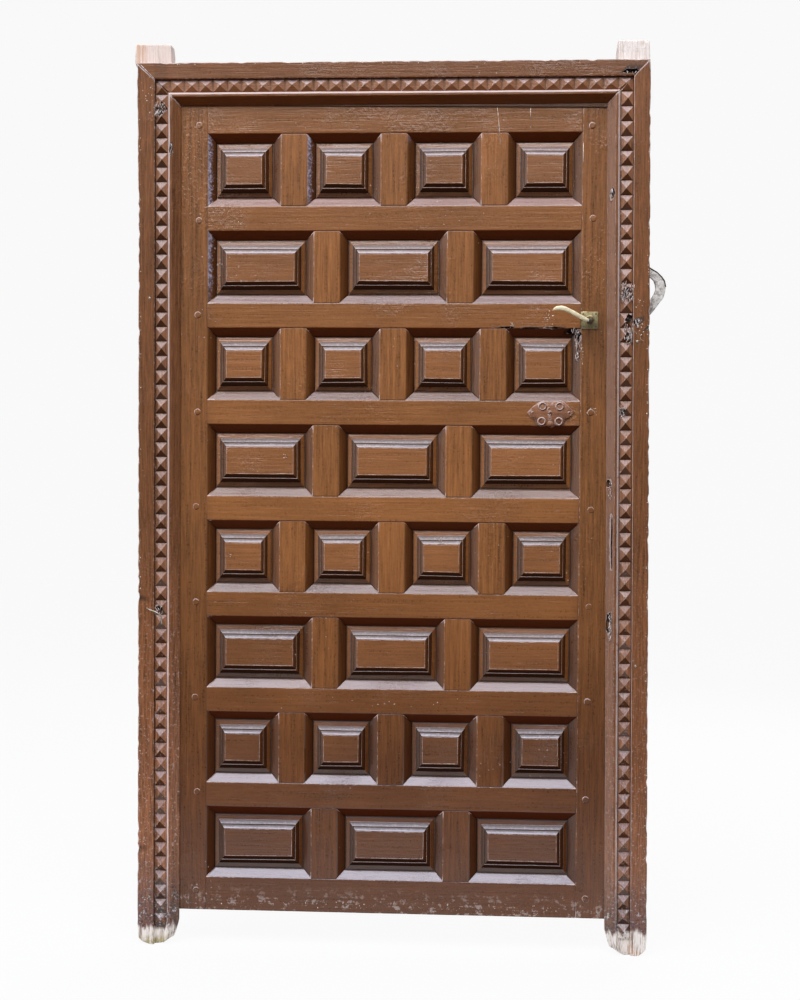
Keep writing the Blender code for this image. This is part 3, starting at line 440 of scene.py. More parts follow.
# %% Where the blows fell
blows = {
    "frame_head_board": [((0.547, 0.001, 2.0495), (0.021, 0.009, 0.0052))],
    "frame_jamb_lock": [
        ((0.5035, 0.008, 1.103), (0.0080, 0.012, 0.0095)),
        ((0.5945, 0.002, 1.462), (0.0060, 0.010, 0.0095)),
        ((0.5640, 0.000, 1.476), (0.0085, 0.006, 0.0070)),
        ((0.5060, 0.005, 1.770), (0.0070, 0.008, 0.0140)),
        ((0.5060, 0.007, 0.776), (0.0085, 0.012, 0.0280)),
        ((0.5120, 0.003, 0.960), (0.0022, 0.007, 0.0700)),
    ],
    "points_strip_lock": [
        ((0.5470, 0.003, 1.486), (0.0095, 0.007, 0.0130)),
        ((0.5440, 0.000, 1.546), (0.0160, 0.006, 0.0150)),
        ((0.5330, 0.002, 1.269), (0.0060, 0.006, 0.0105)),
        ((0.5500, 0.000, 1.445), (0.0120, 0.005, 0.0150)),
    ],
    "frame_jamb_hinge": [((-0.5205, 0.000, 1.877), (0.0042, 0.004, 0.0150))],
    "points_strip_hinge": [
        ((-0.5520, 0.001, 1.968), (0.0170, 0.007, 0.0140)),
        ((-0.5480, 0.002, 0.800), (0.0110, 0.006, 0.0080)),
    ],
    "leaf_stile_lock": [((0.4310, 0.0250, 1.4480), (0.0085, 0.009, 0.0170))],
    "leaf_rail_2": [
        ((0.4180, 0.0250, 1.4560), (0.0150, 0.009, 0.0080)),
        ((0.2700, 0.0190, 1.4630), (0.0190, 0.004, 0.0030)),
        ((0.3250, 0.0195, 1.4625), (0.0230, 0.003, 0.0022)),
        ((0.3750, 0.0190, 1.4628), (0.0210, 0.004, 0.0026)),
    ],
}
print("blows on", len(blows), "boards")

# %% [markdown]
# ## Boards
# A board is an outline drawn along its length, as a plane cuts it. Its arrises are softened with a bevel,
# because no hand-planed edge is sharp, and each face gets an inset ring so that wear stays close to its edges.
# Cuts along the length then let the board sway by a few tenths of a millimetre, and the gloss breaks up as on
# real wood.

# %% From outline to board
touch = 1e-6


def bar(outline, start, end, run):
    """An outline of (across, y) points, drawn along X or Z."""
    spot = (lambda a, y, s: (s, y, a)) if run == "X" else (lambda a, y, s: (a, y, s))
    bm = bmesh.new()
    foot = bm.faces.new([bm.verts.new(spot(a, y, start)) for a, y in outline])
    grown = bmesh.ops.extrude_face_region(bm, geom=[foot])["geom"]
    top = [item for item in grown if isinstance(item, bmesh.types.BMVert)]
    bmesh.ops.translate(bm, verts=top, vec=spot(0.0, 0.0, end - start))
    bmesh.ops.recalc_face_normals(bm, faces=bm.faces)
    return bm


def trim(bm, point, outward):
    """Saw off what lies beyond a plane, and close the cut."""
    everything = list(bm.verts) + list(bm.edges) + list(bm.faces)
    cut = bmesh.ops.bisect_plane(
        bm, geom=everything, dist=touch, plane_co=point, plane_no=outward, clear_outer=True
    )
    lit_rim = [item for item in cut["geom_cut"] if isinstance(item, bmesh.types.BMEdge)]
    bmesh.ops.edgeloop_fill(bm, edges=lit_rim)


def scribe(bm, run, start, end):
    """Draw the lower part of both ends back, to sit over the bevel of the board that they meet."""
    axis = "XYZ".index(run)
    bevel_foot = face_y + bevel_depth
    for place, pull in ((start, bevel_width), (end, -bevel_width)):
        low = [v for v in bm.verts if abs(v.co[axis] - place) < touch and v.co.y > bevel_foot - touch]
        for vert in low:
            vert.co[axis] += pull
        feet = [v for v in low if abs(v.co.y - bevel_foot) < touch]
        if len(feet) == 2:
            bmesh.ops.connect_verts(bm, verts=feet)


print("boards: bar, trim, scribe")

# %% Soft arrises and cross cuts
sharp_angle = 0.2
slant = Vector((0.611, 0.373, 0.717))


def in_order(bm):
    """Number points, edges and faces by place, because some tools number them differently in each run."""
    bm.verts.sort(key=lambda vert: vert.co.dot(slant))
    bm.edges.sort(key=lambda edge: (edge.verts[0].co + edge.verts[1].co).dot(slant))
    bm.faces.sort(key=lambda face: face.calc_center_median().dot(slant))


def soften(bm, radius, guard):
    """Round the arrises, then ring each wide face."""
    sharp = [e for e in bm.edges if e.is_manifold and e.calc_face_angle(0.0) > sharp_angle]
    bmesh.ops.bevel(
        bm, geom=sharp, offset=radius, segments=2, profile=0.5, affect="EDGES", clamp_overlap=True,
        material=-1,
    )
    for vert in bm.verts:
        vert.co = [round(value, 6) for value in vert.co]
    in_order(bm)
    wide = [f for f in bm.faces if f.calc_area() / max(e.calc_length() for e in f.edges) > 3 * guard]
    bmesh.ops.inset_individual(bm, faces=wide, thickness=guard, use_even_offset=True)


def section(bm, run, step):
    """Cut a board across every step of its length."""
    axis = "XYZ".index(run)
    places = [v.co[axis] for v in bm.verts]
    length = max(places) - min(places)
    long = [e for e in bm.edges if abs((e.verts[1].co - e.verts[0].co)[axis]) > 0.6 * length]
    bmesh.ops.subdivide_edges(bm, edges=long, cuts=max(1, round(length / step) - 1), use_grid_fill=True)


print(f"arrises sharper than {math.degrees(sharp_angle):.0f} degrees are softened")

# %% Wear and sway
board_numbers = random.Random(4)
board_lift = 0.0004
joint_line = 0.0016
sway_pitch = 13.0


def clamped(value):
    return min(1.0, max(0.0, value))


def weather(bm, upright, sway, dark_below=math.inf, rub=1.0, joints=None):
    """Store how rubbed and how dirty each point is, the dirt also standing for painted shade, and let the board sway.
    """
    layer = bm.verts.layers.float_color.new("make")
    number = board_numbers.random()
    lift = (number - 0.5) * board_lift
    along = 2 if upright else 0
    for vert in bm.verts:
        # Convex arrises are marked rubbed, hollows dirty: the dirt in hollows is also painted shade.
        turns = [e.calc_face_angle_signed(0.0) for e in vert.link_edges if e.is_manifold] or [0.0]
        worn = rub * clamped(max(turns) * 2.2)
        dirt = rub * clamped(-min(turns) * 1.6)
        at_joint = joints and min(abs(vert.co[along] - place) for place in joints) < joint_line
        # Deep in a recess, past dark_below, a point is marked fully dirty: painted shade.
        if dark_below < vert.co.y < back_y - 0.004:
            worn, dirt = 0.0, 1.0
        elif vert.co.y > dark_below:
            worn, dirt = 0.2, 0.1
        elif at_joint:
            worn, dirt = 0.0, 0.4
        vert[layer] = (worn, dirt, upright, number)
    for vert in bm.verts:
        vert.co += noise.noise_vector(vert.co * sway_pitch) * sway
        vert.co.y += lift
    return bm


print("each board is numbered, rubbed, dirtied and swayed")


# %% Blows
def gathered(parts, mesh):
    """Join several parts in one, by way of the mesh that will hold them."""
    whole = bmesh.new()
    for part in parts:
        part.to_mesh(mesh)
        part.free()
        whole.from_mesh(mesh)
    return whole


def lump(centre, size):
    """A ragged ball, the shape of what a blow takes out of a board."""
    bm = bmesh.new()
    bmesh.ops.create_icosphere(bm, subdivisions=2, radius=1.0)
    for vert in bm.verts:
        vert.co *= 0.95 + 0.75 * noise.noise(vert.co * 1.7 + Vector(centre) * 97.0)
    bmesh.ops.scale(bm, verts=bm.verts, vec=size)
    bmesh.ops.translate(bm, verts=bm.verts, vec=centre)
    return bm


def gouge(board, hits):
    """Cut a lump out of a board for each hit. The cut faces take the dark torn wood."""
    mesh = bpy.data.meshes.new("blows")
    lumps = gathered([lump(centre, size) for centre, size in hits], mesh)
    lumps.to_mesh(mesh)
    lumps.free()
    mesh.materials.append(torn_wood)
    cutter = bpy.data.objects.new("blows", mesh)
    bpy.context.scene.collection.objects.link(cutter)
    cut = board.modifiers.new("gouge", "BOOLEAN")
    cut.operation, cut.solver, cut.object, cut.material_mode = "DIFFERENCE", "EXACT", cutter, "TRANSFER"
    bpy.context.view_layer.update()
    carved = bpy.data.meshes.new_from_object(board.evaluated_get(bpy.context.evaluated_depsgraph_get()))
    carved.name = board.name
    torn = len(board.data.materials)
    whole = bmesh.new()
    whole.from_mesh(carved)
    in_order(whole)
    for face in whole.faces:
        face.smooth = face.smooth and face.material_index < torn
    for edge in whole.edges:
        coats = {face.material_index >= torn for face in edge.link_faces}
        if len(coats) > 1:
            edge.smooth = False
            for vert in edge.verts:
                for face in vert.link_faces:
                    face.smooth = False
    whole.to_mesh(carved)
    whole.free()
    board.modifiers.clear()
    board.data = carved
    bpy.data.objects.remove(cutter)


print("blows: ragged balls, cut out of the finished board")


# %% Pieces
def in_painted_shade(face, body):
    """Whether a face on the front looks down, or to the right inside a recess of the leaf. Such faces take the
    coat without shine, as painted shade.
    """
    in_recess = body == "leaf" and face.normal.x > 0.25 and face.calc_center_median().y > face_y + 0.002
    return face.normal.y < -0.1 and (face.normal.z < -0.36 or in_recess)


def piece(name, parts, body, finish, nodes=(), smooth=True):
    """Gather parts into one piece that rides on a body and stands for the named nodes."""
    mesh = bpy.data.meshes.new(name)
    whole = gathered(parts, mesh)
    finishes = finish if isinstance(finish, list) else [finish]
    for face in whole.faces:
        face.smooth = smooth
        # Faces that look down, or right inside a recess, take the dull coat: painted shade.
        if len(finishes) > 1 and in_painted_shade(face, body):
            face.material_index = 1
    in_order(whole)
    whole.to_mesh(mesh)
    whole.free()
    made = bpy.data.objects.new(name, mesh)
    bpy.context.scene.collection.objects.link(made)
    for coat in finishes:
        mesh.materials.append(coat)
    if name in blows:
        gouge(made, blows[name])
    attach(made, body)
    if nodes:
        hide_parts(*nodes)
    print(name, len(made.data.polygons), "faces")
    return made


# %% [markdown]
# ## Stiles, rails and muntins
# The stiles are the long uprights at the edges. Rails run between them and muntins between the rails. Each has
# a wide bevel towards every panel, and its ends are cut to sit over the bevel that they meet. In the solid
# model a row's muntins are one with the rail above; here they are boards of their own, with the joint lines
# that show.

# %% Stiles
joint_gap = 0.0002
leaf_sway = 0.00030


def bevelled(first, last, first_side, last_side):
    """Outline across a board: a bevel, or a plain edge where the side is 0."""
    near, far = first + first_side * bevel_width, last + last_side * bevel_width
    outline = [(first, face_y), (last, face_y)]
    if last_side:
        outline.append((far, face_y + bevel_depth))
    outline += [(far, back_y), (near, back_y)]
    if first_side:
        outline.append((near, face_y + bevel_depth))
    return outline


def dressed(bm, run, step, joints=None):
    soften(bm, 0.0014, 0.0030)
    section(bm, run, step)
    dark_below = face_y + bevel_depth - 0.002
    return weather(bm, 1.0 if run == "Z" else 0.0, leaf_sway, dark_below, 1.0, joints)


for side, node in ((-1, "stile_hinge"), (1, "stile_lock")):
    outer = side * (leaf_half - joint_gap)
    stile = bar(bevelled(side * stile_edge, outer, -side, 0), leaf_bottom, leaf_top, "Z")
    piece("leaf_" + node, [dressed(stile, "Z", 0.03)], "leaf", leaf_paint, [node])

# %% Rails and their muntins
last_rail = len(row_columns)
reach = stile_edge - joint_gap
for rail in range(last_rail + 1):
    node = {0: "rail_top", last_rail: "rail_bottom"}.get(rail, f"rail_{rail}")
    high = leaf_top if rail == 0 else recess_bottom(rail - 1)
    low = leaf_bottom if rail == last_rail else recess_bottom(rail) + recess_height
    outline = bevelled(low, high, 0 if rail == last_rail else -1, 0 if rail == 0 else 1)
    board = bar(outline, -reach, reach, "X")
    scribe(board, "X", -reach, reach)
    piece("leaf_" + node, [dressed(board, "X", 0.03, (-reach, reach))], "leaf", leaf_paint, [node])
    if rail == last_rail:
        continue
    uprights = []
    for column in range(row_columns[rail] - 1):
        middle = (recess_middle(rail, column) + recess_middle(rail, column + 1)) / 2
        foot, top = recess_bottom(rail) + joint_gap, low - joint_gap
        upright = bar(bevelled(middle - muntin_face / 2, middle + muntin_face / 2, -1, 1), foot, top, "Z")
        scribe(upright, "Z", foot, top)
        uprights.append(dressed(upright, "Z", 0.02, (foot, top)))
    piece(f"leaf_muntins_{rail + 1}", uprights, "leaf", leaf_paint, [node])

# %% [markdown]
# ## Raised panels
# A panel is one board whose edge is moulded up to a flat field: a sloping band, a small step, a steep slope, a
# fillet, and a broad chamfer to the field. It could be carved from a block with cuts. Drawing the front face
# in and up with `inset_region`, once for each member of the moulding, gives clean mitres at all four corners.

# %% The moulding
moulding = (
    # width, rise, how rubbed and how dirty at its inner line, the dirt also standing for painted shade
    (0.0012, -0.0002, 0.0, 1.0),
    (0.0006, 0.0022, 0.4, 0.3),
    (0.0074, 0.0020, 0.0, 0.0),
    (0.0006, 0.0001, 0.9, 0.0),
    (0.0007, 0.0020, 0.0, 0.8),
    (0.0068, 0.0046, 0.0, 0.35),
    (0.0006, 0.0001, 0.9, 0.0),
    (0.0009, -0.0006, 0.0, 0.9),
    (0.0068, 0.0045, 0.1, 0.0),
    (0.0013, 0.0001, 1.3, 0.0),
    (0.0016, 0.0000, 0.0, 0.0),
)
extra_height, square_extra, oblong_extra = 0.20, 0.06, -0.04
widest_square = 0.15
tongue, panel_thick = 0.010, 0.010
hand_slip = 0.0003


def raised_panel(width, height, centre, chance):
    bm = bmesh.new()
    size = Matrix.Diagonal((width + 2 * tongue, panel_thick, height + 2 * tongue, 1.0))
    bmesh.ops.create_cube(bm, size=1.0, matrix=size)
    layer = bm.verts.layers.float_color.new("make")
    number = chance.random()
    extra_width = square_extra if width < widest_square else oblong_extra
    for vert in bm.verts:
        vert[layer] = (0.0, 0.3, 0.0, number)
    front = min(bm.faces, key=lambda face: face.calc_center_median().y)
    bmesh.ops.inset_region(bm, faces=[front], thickness=tongue, use_even_offset=True)
    for wide, rise, rubbed_and_lit, dirty in moulding:
        bmesh.ops.inset_region(bm, faces=[front], thickness=wide, depth=rise, use_even_offset=True)
        for vert in front.verts:
            vert[layer] = (rubbed_and_lit, dirty, 0.0, number)
            vert.co += Vector((chance.uniform(-1, 1), 0, chance.uniform(-1, 1))) * hand_slip
            vert.co.z -= math.copysign(extra_height * wide, vert.co.z)
            vert.co.x += math.copysign(extra_width * wide, vert.co.x)
    bmesh.ops.translate(bm, verts=bm.verts, vec=centre)
    lines = [edge for edge in bm.edges if edge.calc_length() > 0.045 and edge.verts[0].co.y < centre[1]]
    bmesh.ops.subdivide_edges(bm, edges=lines, cuts=5, use_grid_fill=True)
    for vert in bm.verts:
        broad, fine = noise.noise_vector(vert.co * sway_pitch), noise.noise_vector(vert.co * 55.0)
        vert.co += broad * leaf_sway + fine * 0.00028
    return bm


print("members of the moulding:", len(moulding))

# %% The panels
carver = random.Random(7)
panel_gap = 0.0003
panel_y = face_y + bevel_depth + panel_gap + panel_thick / 2
for row, columns in enumerate(row_columns):
    for column in range(columns):
        centre = (recess_middle(row, column), panel_y, recess_bottom(row) + recess_height / 2)
        wide = recess_width(row) - 2 * bevel_width
        made = raised_panel(wide, recess_height - 2 * bevel_width, centre, carver)
        node = f"panel_{row + 1}_{column + 1}"
        piece("raised_" + node, [made], "leaf", panel_paint, [node], smooth=False)

# %% [markdown]
# ## The frame
# Each side of the frame has the same moulding: a flat fascia, a channel for the strip of points, a narrow
# fillet and a splay down to the lip that stops the leaf. Behind it stand the posts, which run up past the head
# as horns and down to bare feet. The moulding is drawn along each side and sawn off at the mitres.

# %% The frame's own rod
fascia, channel, fillet, splay = 0.038, 0.031, 0.010, 0.018
channel_depth, splay_depth, lip_depth = 0.0108, 0.015, 0.018
bead_width, bead_drop = 0.0042, 0.0026
frame_half, clear_half, clear_top = 0.597, 0.500, leaf_top - 0.012
post, post_gap = 0.082, 0.0003
head_top = clear_top + frame_half - clear_half
horn_top = cad_high.z
frame_radius, front_guard, post_guard = 0.0010, 0.0026, 0.0030
front_step, front_sway, post_sway = 0.012, 0.0004, 0.0003


def moulded():
    """The front of the frame, as (place from the outer edge, y)."""
    inner = fascia + channel
    edge = inner + fillet + splay
    return [
        (0.0, 0.0), (fascia, 0.0), (fascia, channel_depth), (inner, channel_depth), (inner, bead_drop),
        (inner + bead_width, 0.0), (inner + fillet, 0.0), (edge, splay_depth), (edge, lip_depth), (0.0, lip_depth),
    ]


print(f"frame {2 * frame_half:.3f} wide, head at {head_top:.4f}, horns to {horn_top:.4f}")


# %% Chips and rubbed beads
def chip_edge(bm, axis, edge):
    """Knock small chips out of an outer edge, and bare them."""
    layer = bm.verts.layers.float_color["make"]
    for vert in bm.verts:
        place = vert.co[axis]
        if abs(abs(place) - edge) < 0.0032:
            flat = Vector((vert.co.x, 0.0, vert.co.z))
            broad, fine = noise.noise(flat * 55.0), noise.noise(flat * 140.0)
            bite = max(0.0, broad - 0.12) + max(0.0, fine - 0.10) * 0.6
            vert.co[axis] -= math.copysign(bite * 0.0050, place)
            worn, dirt, upright, number = vert[layer]
            vert[layer] = (min(1.7, worn + bite * 3.0), dirt * 0.3, upright, number)


def bare_bead(bm, across, inward):
    """Rub the paint off the bead between the channel and the fillet."""
    layer = bm.verts.layers.float_color["make"]
    bead = fascia + channel + 0.002
    for vert in bm.verts:
        if abs(inward(vert.co[across]) - bead) < 0.0028 and vert.co.y < 0.0035:
            worn, dirt, upright, number = vert[layer]
            vert[layer] = (max(worn, 1.35), dirt * 0.2, upright, number)


print("chips on the outer edges, bare wood on the beads")

# %% Feet, horns and the lean
foot_reach, foot_rise, foot_cuts = 0.05, 0.017, 4
lean_per_metre, lean_level = 0.0062, 0.95
fray_pitch, fray = 60.0, 0.0022


def round_foot(bm, centre, half):
    """Cut the lower end finely across, and lift its corners."""
    for k in range(-foot_cuts, foot_cuts + 1):
        near = [f for f in bm.faces if min(v.co.z for v in f.verts) < 0.03]
        edges = dict.fromkeys(e for f in near for e in f.edges)
        verts = dict.fromkeys(v for f in near for v in f.verts)
        spot = (centre + k * half / (foot_cuts + 1), 0, 0)
        end = list(verts) + list(edges) + near
        bmesh.ops.bisect_plane(bm, geom=end, dist=touch, plane_co=spot, plane_no=(1, 0, 0))
    for vert in bm.verts:
        if vert.co.z < foot_reach:
            out = min(1.0, abs(vert.co.x - centre) / half)
            vert.co.z += foot_rise * out ** 4 * (1 - vert.co.z / foot_reach)


def worn_end(bm, end, reach, direction, centre, pull):
    """Round and fray the end of a post. A foot is also drawn in on its inner side."""
    for vert in bm.verts:
        into = (end - vert.co.z) * direction
        if into < reach:
            share = 1 - into / reach
            vert.co.x += (centre.x - vert.co.x) * pull * share ** 2
            vert.co.y += (centre.y - vert.co.y) * pull * share ** 2
            vert.co += noise.noise_vector(vert.co * fray_pitch) * fray * share
            if direction < 0:
                inner = clamped((0.556 - abs(vert.co.x)) / 0.05)
                vert.co.x += math.copysign(0.013 * inner * share, vert.co.x)
                vert.co.z = max(0.0, vert.co.z)


def settled(bm, share=lambda x: 1.0):
    """Let the old frame lean: all of the lock side, and the other side only at its upper corner."""
    for vert in bm.verts:
        x, z = vert.co.x, vert.co.z
        if x > 0:
            vert.co.x += lean_per_metre * (lean_level - z) * share(x)
        else:
            vert.co.x -= 0.004 * clamped((-x - 0.555) / 0.04) * clamped((z - 1.70) / 0.35)
    return bm


print(f"the lock side leans {1000 * lean_per_metre:.1f} mm in a metre")

# %% Jambs
left_mitre, right_mitre = 0.0018, 0.0006
horn_shift = 0.0085
for side, node in ((-1, "jamb_hinge"), (1, "jamb_lock")):
    front = bar([(side * (frame_half - u), y) for u, y in moulded()], 0.0, head_top, "Z")
    open_mitre = left_mitre if side < 0 else right_mitre
    trim(front, (side * clear_half, 0, clear_top - open_mitre), (-side, 0, 1))
    soften(front, frame_radius, front_guard)
    section(front, "Z", front_step)
    weather(front, 1.0, front_sway)
    chip_edge(front, 0, frame_half)
    bare_bead(front, 0, lambda x: frame_half - abs(x))
    inner, outer = side * (frame_half - post), side * (frame_half - post_gap)
    square = [(inner, lip_depth), (outer, lip_depth), (outer, back_y), (inner, back_y)]
    back = bar(square, 0.0, horn_top, "Z")
    soften(back, frame_radius, post_guard)
    section(back, "Z", 0.02)
    weather(back, 1.0, post_sway)
    centre = Vector(((inner + outer) / 2, back_y / 2, 0.0))
    for board in (front, back):
        round_foot(board, centre.x, post / 2)
        worn_end(board, 0.0, 0.06, -1, centre, 0.10)
    worn_end(back, horn_top, 0.03, 1, centre, 0.05)
    settled(front)
    settled(back, lambda x: (x - frame_half + post) / post)
    for vert in back.verts:
        if side < 0 and vert.co.z > head_top - 0.012:
            vert.co.x -= horn_shift
    piece("frame_" + node, [front], "frame", frame_paint, [node])
    piece("frame_post_" + node.removeprefix("jamb_"), [back], "frame", frame_paint, [node])

# %% [markdown]
# ## The head
# The head has the jambs' moulding, sawn at both mitres. The leaf has sunk on its hinges, so a thin wedge of
# the rebate shows above it and widens to the right.


# %% Head
def with_the_jambs(x):
    """How far a point of the head follows the leaning lock side."""
    return min(1.0, x / clear_half)


front = bar([(head_top - v, y) for v, y in moulded()], -frame_half, frame_half, "X")
for side in (-1, 1):
    trim(front, (side * clear_half, 0, clear_top), (side, 0, -1))
soften(front, frame_radius, front_guard)
section(front, "X", front_step)
weather(front, 0.0, front_sway)
chip_edge(front, 2, head_top)
bare_bead(front, 2, lambda z: head_top - z)
settled(front, with_the_jambs)
root = frame_half - post - post_gap
under = head_top - post
square = [(under, lip_depth), (head_top, lip_depth), (head_top, back_y), (under, back_y)]
back = bar(square, -root, root, "X")
soften(back, frame_radius, post_guard)
section(back, "X", 0.03)
weather(back, 0.0, post_sway)
piece("frame_head_board", [front], "frame", frame_paint, ["frame_head"])

# %% The wedge of rebate under the head
rebate_front, rebate_back = 0.0158, 0.0183
rebate_low, rebate_high = clear_top - 0.009, clear_top + 0.004
# The rebate is marked dirty, which darkens it as painted shade under the head.
rebate_make = (0.0, 0.68, 0.0, 0.5)
square = [
    (rebate_low, rebate_front), (rebate_high, rebate_front), (rebate_high, rebate_back), (rebate_low, rebate_back),
]
rebate = bar(square, -0.28, clear_half - 0.007, "X")
for vert in rebate.verts:
    if vert.co.z < clear_top and vert.co.x < 0:
        vert.co.z = clear_top - 0.001
soften(rebate, 0.0006, 0.0014)
section(rebate, "X", 0.03)
weather(rebate, 0.0, 0.0001)
layer = rebate.verts.layers.float_color["make"]
for vert in rebate.verts:
    vert[layer] = rebate_make
piece("frame_head_back", [back, rebate], "frame", frame_paint, ["frame_head"])

# %% [markdown]
# ## Strips of diamond points
# A carver cuts these with four strokes of a chisel for each point, so no two are alike. A grid with one face
# for each point is poked, which raises a peak in every face. The peaks are then moved a little at random.

# %% One carved strip
strip_half = channel / 2 - 0.001
point_pitch, point_height, strip_edge = 0.0336, 0.0075, 0.003
point_slip = 0.0017


def pointed_strip(length, place, turn, ends, chance):
    bm = bmesh.new()
    bmesh.ops.create_grid(bm, x_segments=round(length / point_pitch), y_segments=1, size=0.5)
    bmesh.ops.scale(bm, verts=bm.verts, vec=(length, 2 * strip_half, 1))
    bmesh.ops.rotate(bm, verts=bm.verts, cent=(0, 0, 0), matrix=Matrix.Rotation(math.pi / 2, 3, "X"))
    peaks = bmesh.ops.poke(bm, faces=bm.faces, offset=point_height)["verts"]
    for peak in peaks:
        slip = Vector((chance.uniform(-1, 1), chance.uniform(-0.2, 0.9), chance.uniform(-1, 1)))
        peak.co += slip * point_slip
    lit_rim = [edge for edge in bm.edges if edge.is_boundary]
    grown = bmesh.ops.extrude_edge_only(bm, edges=lit_rim)["geom"]
    moved = [item for item in grown if isinstance(item, bmesh.types.BMVert)]
    bmesh.ops.translate(bm, verts=moved, vec=(0, strip_edge, 0))
    bmesh.ops.holes_fill(bm, edges=[edge for edge in bm.edges if edge.is_boundary], sides=0)
    bmesh.ops.recalc_face_normals(bm, faces=bm.faces)
    for point, outward in ends:
        trim(bm, point, outward)
    bmesh.ops.rotate(bm, verts=bm.verts, cent=(0, 0, 0), matrix=Matrix.Rotation(turn, 3, "Y"))
    bmesh.ops.translate(bm, verts=bm.verts, vec=place)
    proud = channel_depth - 0.002
    slopes = [edge for edge in bm.edges if edge.calc_length() > 0.012 and edge.verts[0].co.y < proud]
    bmesh.ops.subdivide_edges(bm, edges=slopes, cuts=2, use_grid_fill=True)
    return weather(bm, 1.0 if turn else 0.0, 0.0003, rub=0.55)


print(f"points every {1000 * point_pitch:.1f} mm")

# %% Three strips
inset = fascia + channel / 2
seat_y = channel_depth - strip_edge - 0.0003
mitre_gap, strip_bottom = 0.0010, 0.040
head_strip = 2 * (frame_half - inset + strip_half)
corner = head_strip / 2 - strip_half - mitre_gap
ends = [((side * corner, 0, 0), (side, 0, -1)) for side in (-1, 1)]
strip = settled(pointed_strip(head_strip, (0, seat_y, head_top - inset), 0.0, ends, carver), with_the_jambs)
piece("points_head", [strip], "frame", strip_paint, ["strip_head"], smooth=False)
length = head_top - inset + strip_half - strip_bottom
for side, node in ((-1, "strip_hinge"), (1, "strip_lock")):
    end = ((length / 2 - strip_half - mitre_gap, 0, 0), (1, 0, side))
    place = (side * (frame_half - inset), seat_y, strip_bottom + length / 2)
    strip = settled(pointed_strip(length, place, -math.pi / 2, [end], carver))
    piece("points_" + node, [strip], "frame", strip_paint, [node], smooth=False)

# %% [markdown]
# ## Metals
# The lever is a pale, dull cast metal, its square rose a greenish brass, and the wall anchor and hinges are
# iron. A metal is mostly its dull and its bright tone, mixed in patches with a fine grit.


# %% Metal finishes
def metal(name, dull, bright, metallic, rough, scale):
    finish, shader, pot = new_finish(name, Metallic=metallic)
    place = pot.node("ShaderNodeTexCoord", out="Object")
    patches = cloud(place, scale, 5.0, 0.65)
    grit = cloud(place, scale * 9, 3.0, 0.6)
    tone = tint(dull, bright, fade(patches + grit * 0.4, 0.50, 0.86))
    surface = bumps(patches + grit * 0.5, 0.25, 0.0006)
    connect(shader, Base_Color=tone, Roughness=rough + grit * 0.25, Normal=surface)
    return finish


pale_cast = metal("pale_cast", colour(0.62, 0.51, 0.31), colour(0.88, 0.78, 0.54), 0.15, 0.24, 60.0)
# The neck is a near-black bronze; its dark tone is also painted shade by the blade.
shaded_neck_bronze = metal("shaded_neck_bronze", colour(0.035, 0.026, 0.016), colour(0.085, 0.060, 0.032), 0.25, 0.45, 90.0)
rose_brass = metal("rose_brass", colour(0.16, 0.12, 0.055), colour(0.46, 0.38, 0.20), 0.7, 0.28, 90.0)
anchor_iron = metal("anchor_iron", colour(0.32, 0.26, 0.22), colour(0.97, 0.93, 0.89), 0.1, 0.45, 95.0)
hinge_iron = metal("hinge_iron", colour(0.045, 0.035, 0.03), colour(0.16, 0.14, 0.13), 0.7, 0.40, 80.0)
latch_steel = metal("latch_steel", colour(0.25, 0.22, 0.18), colour(0.55, 0.50, 0.42), 0.9, 0.30, 80.0)
print("metals:", 6)

# %% [markdown]
# ## Levers and roses
# The lever is flat, thin at its neck and broad near the tip. Its outline is drawn as it shows from the front,
# and extruded and rounded. The neck and collar are turned pieces, spun from a profile.


# %% Turning and plates
def turned(profile, centre, sides=24):
    """A round piece on an axis along Y, from points of radius and place outward from the face."""
    bm = bmesh.new()
    verts = [bm.verts.new((radius, -out, 0.0)) for radius, out in profile]
    edges = [bm.edges.new(pair) for pair in zip(verts, verts[1:])]
    bmesh.ops.spin(
        bm, geom=verts + edges, cent=(0, 0, 0), axis=(0, 1, 0), angle=math.tau, steps=sides, use_merge=True
    )
    bmesh.ops.remove_doubles(bm, verts=bm.verts, dist=touch)
    bmesh.ops.recalc_face_normals(bm, faces=bm.faces)
    bmesh.ops.translate(bm, verts=bm.verts, vec=centre)
    return bm


def seated(profile, outward, place, sides=24):
    """A turned piece on the front of the leaf, or turned round for the back."""
    bm = turned(profile, (0, 0, 0), sides)
    if outward > 0:
        bmesh.ops.rotate(bm, verts=bm.verts, cent=(0, 0, 0), matrix=Matrix.Rotation(math.pi, 3, "Z"))
    bmesh.ops.translate(bm, verts=bm.verts, vec=place)
    return bm


def plate(outline, front, thick, radius, segments=2):
    """A flat piece: its outline of (x, z) points from the front, with rounded edges."""
    bm = bmesh.new()
    face = bm.faces.new([bm.verts.new((x, front, z)) for x, z in outline])
    grown = bmesh.ops.extrude_face_region(bm, geom=[face])["geom"]
    moved = [item for item in grown if isinstance(item, bmesh.types.BMVert)]
    bmesh.ops.translate(bm, verts=moved, vec=(0, thick, 0))
    bmesh.ops.recalc_face_normals(bm, faces=bm.faces)
    rims = [e for e in bm.edges if abs(e.verts[0].co.y - e.verts[1].co.y) < touch]
    bmesh.ops.bevel(
        bm, geom=rims, offset=radius, segments=segments, profile=0.5, affect="EDGES", clamp_overlap=True,
        material=-1,
    )
    return bm


print("turned pieces and plates")

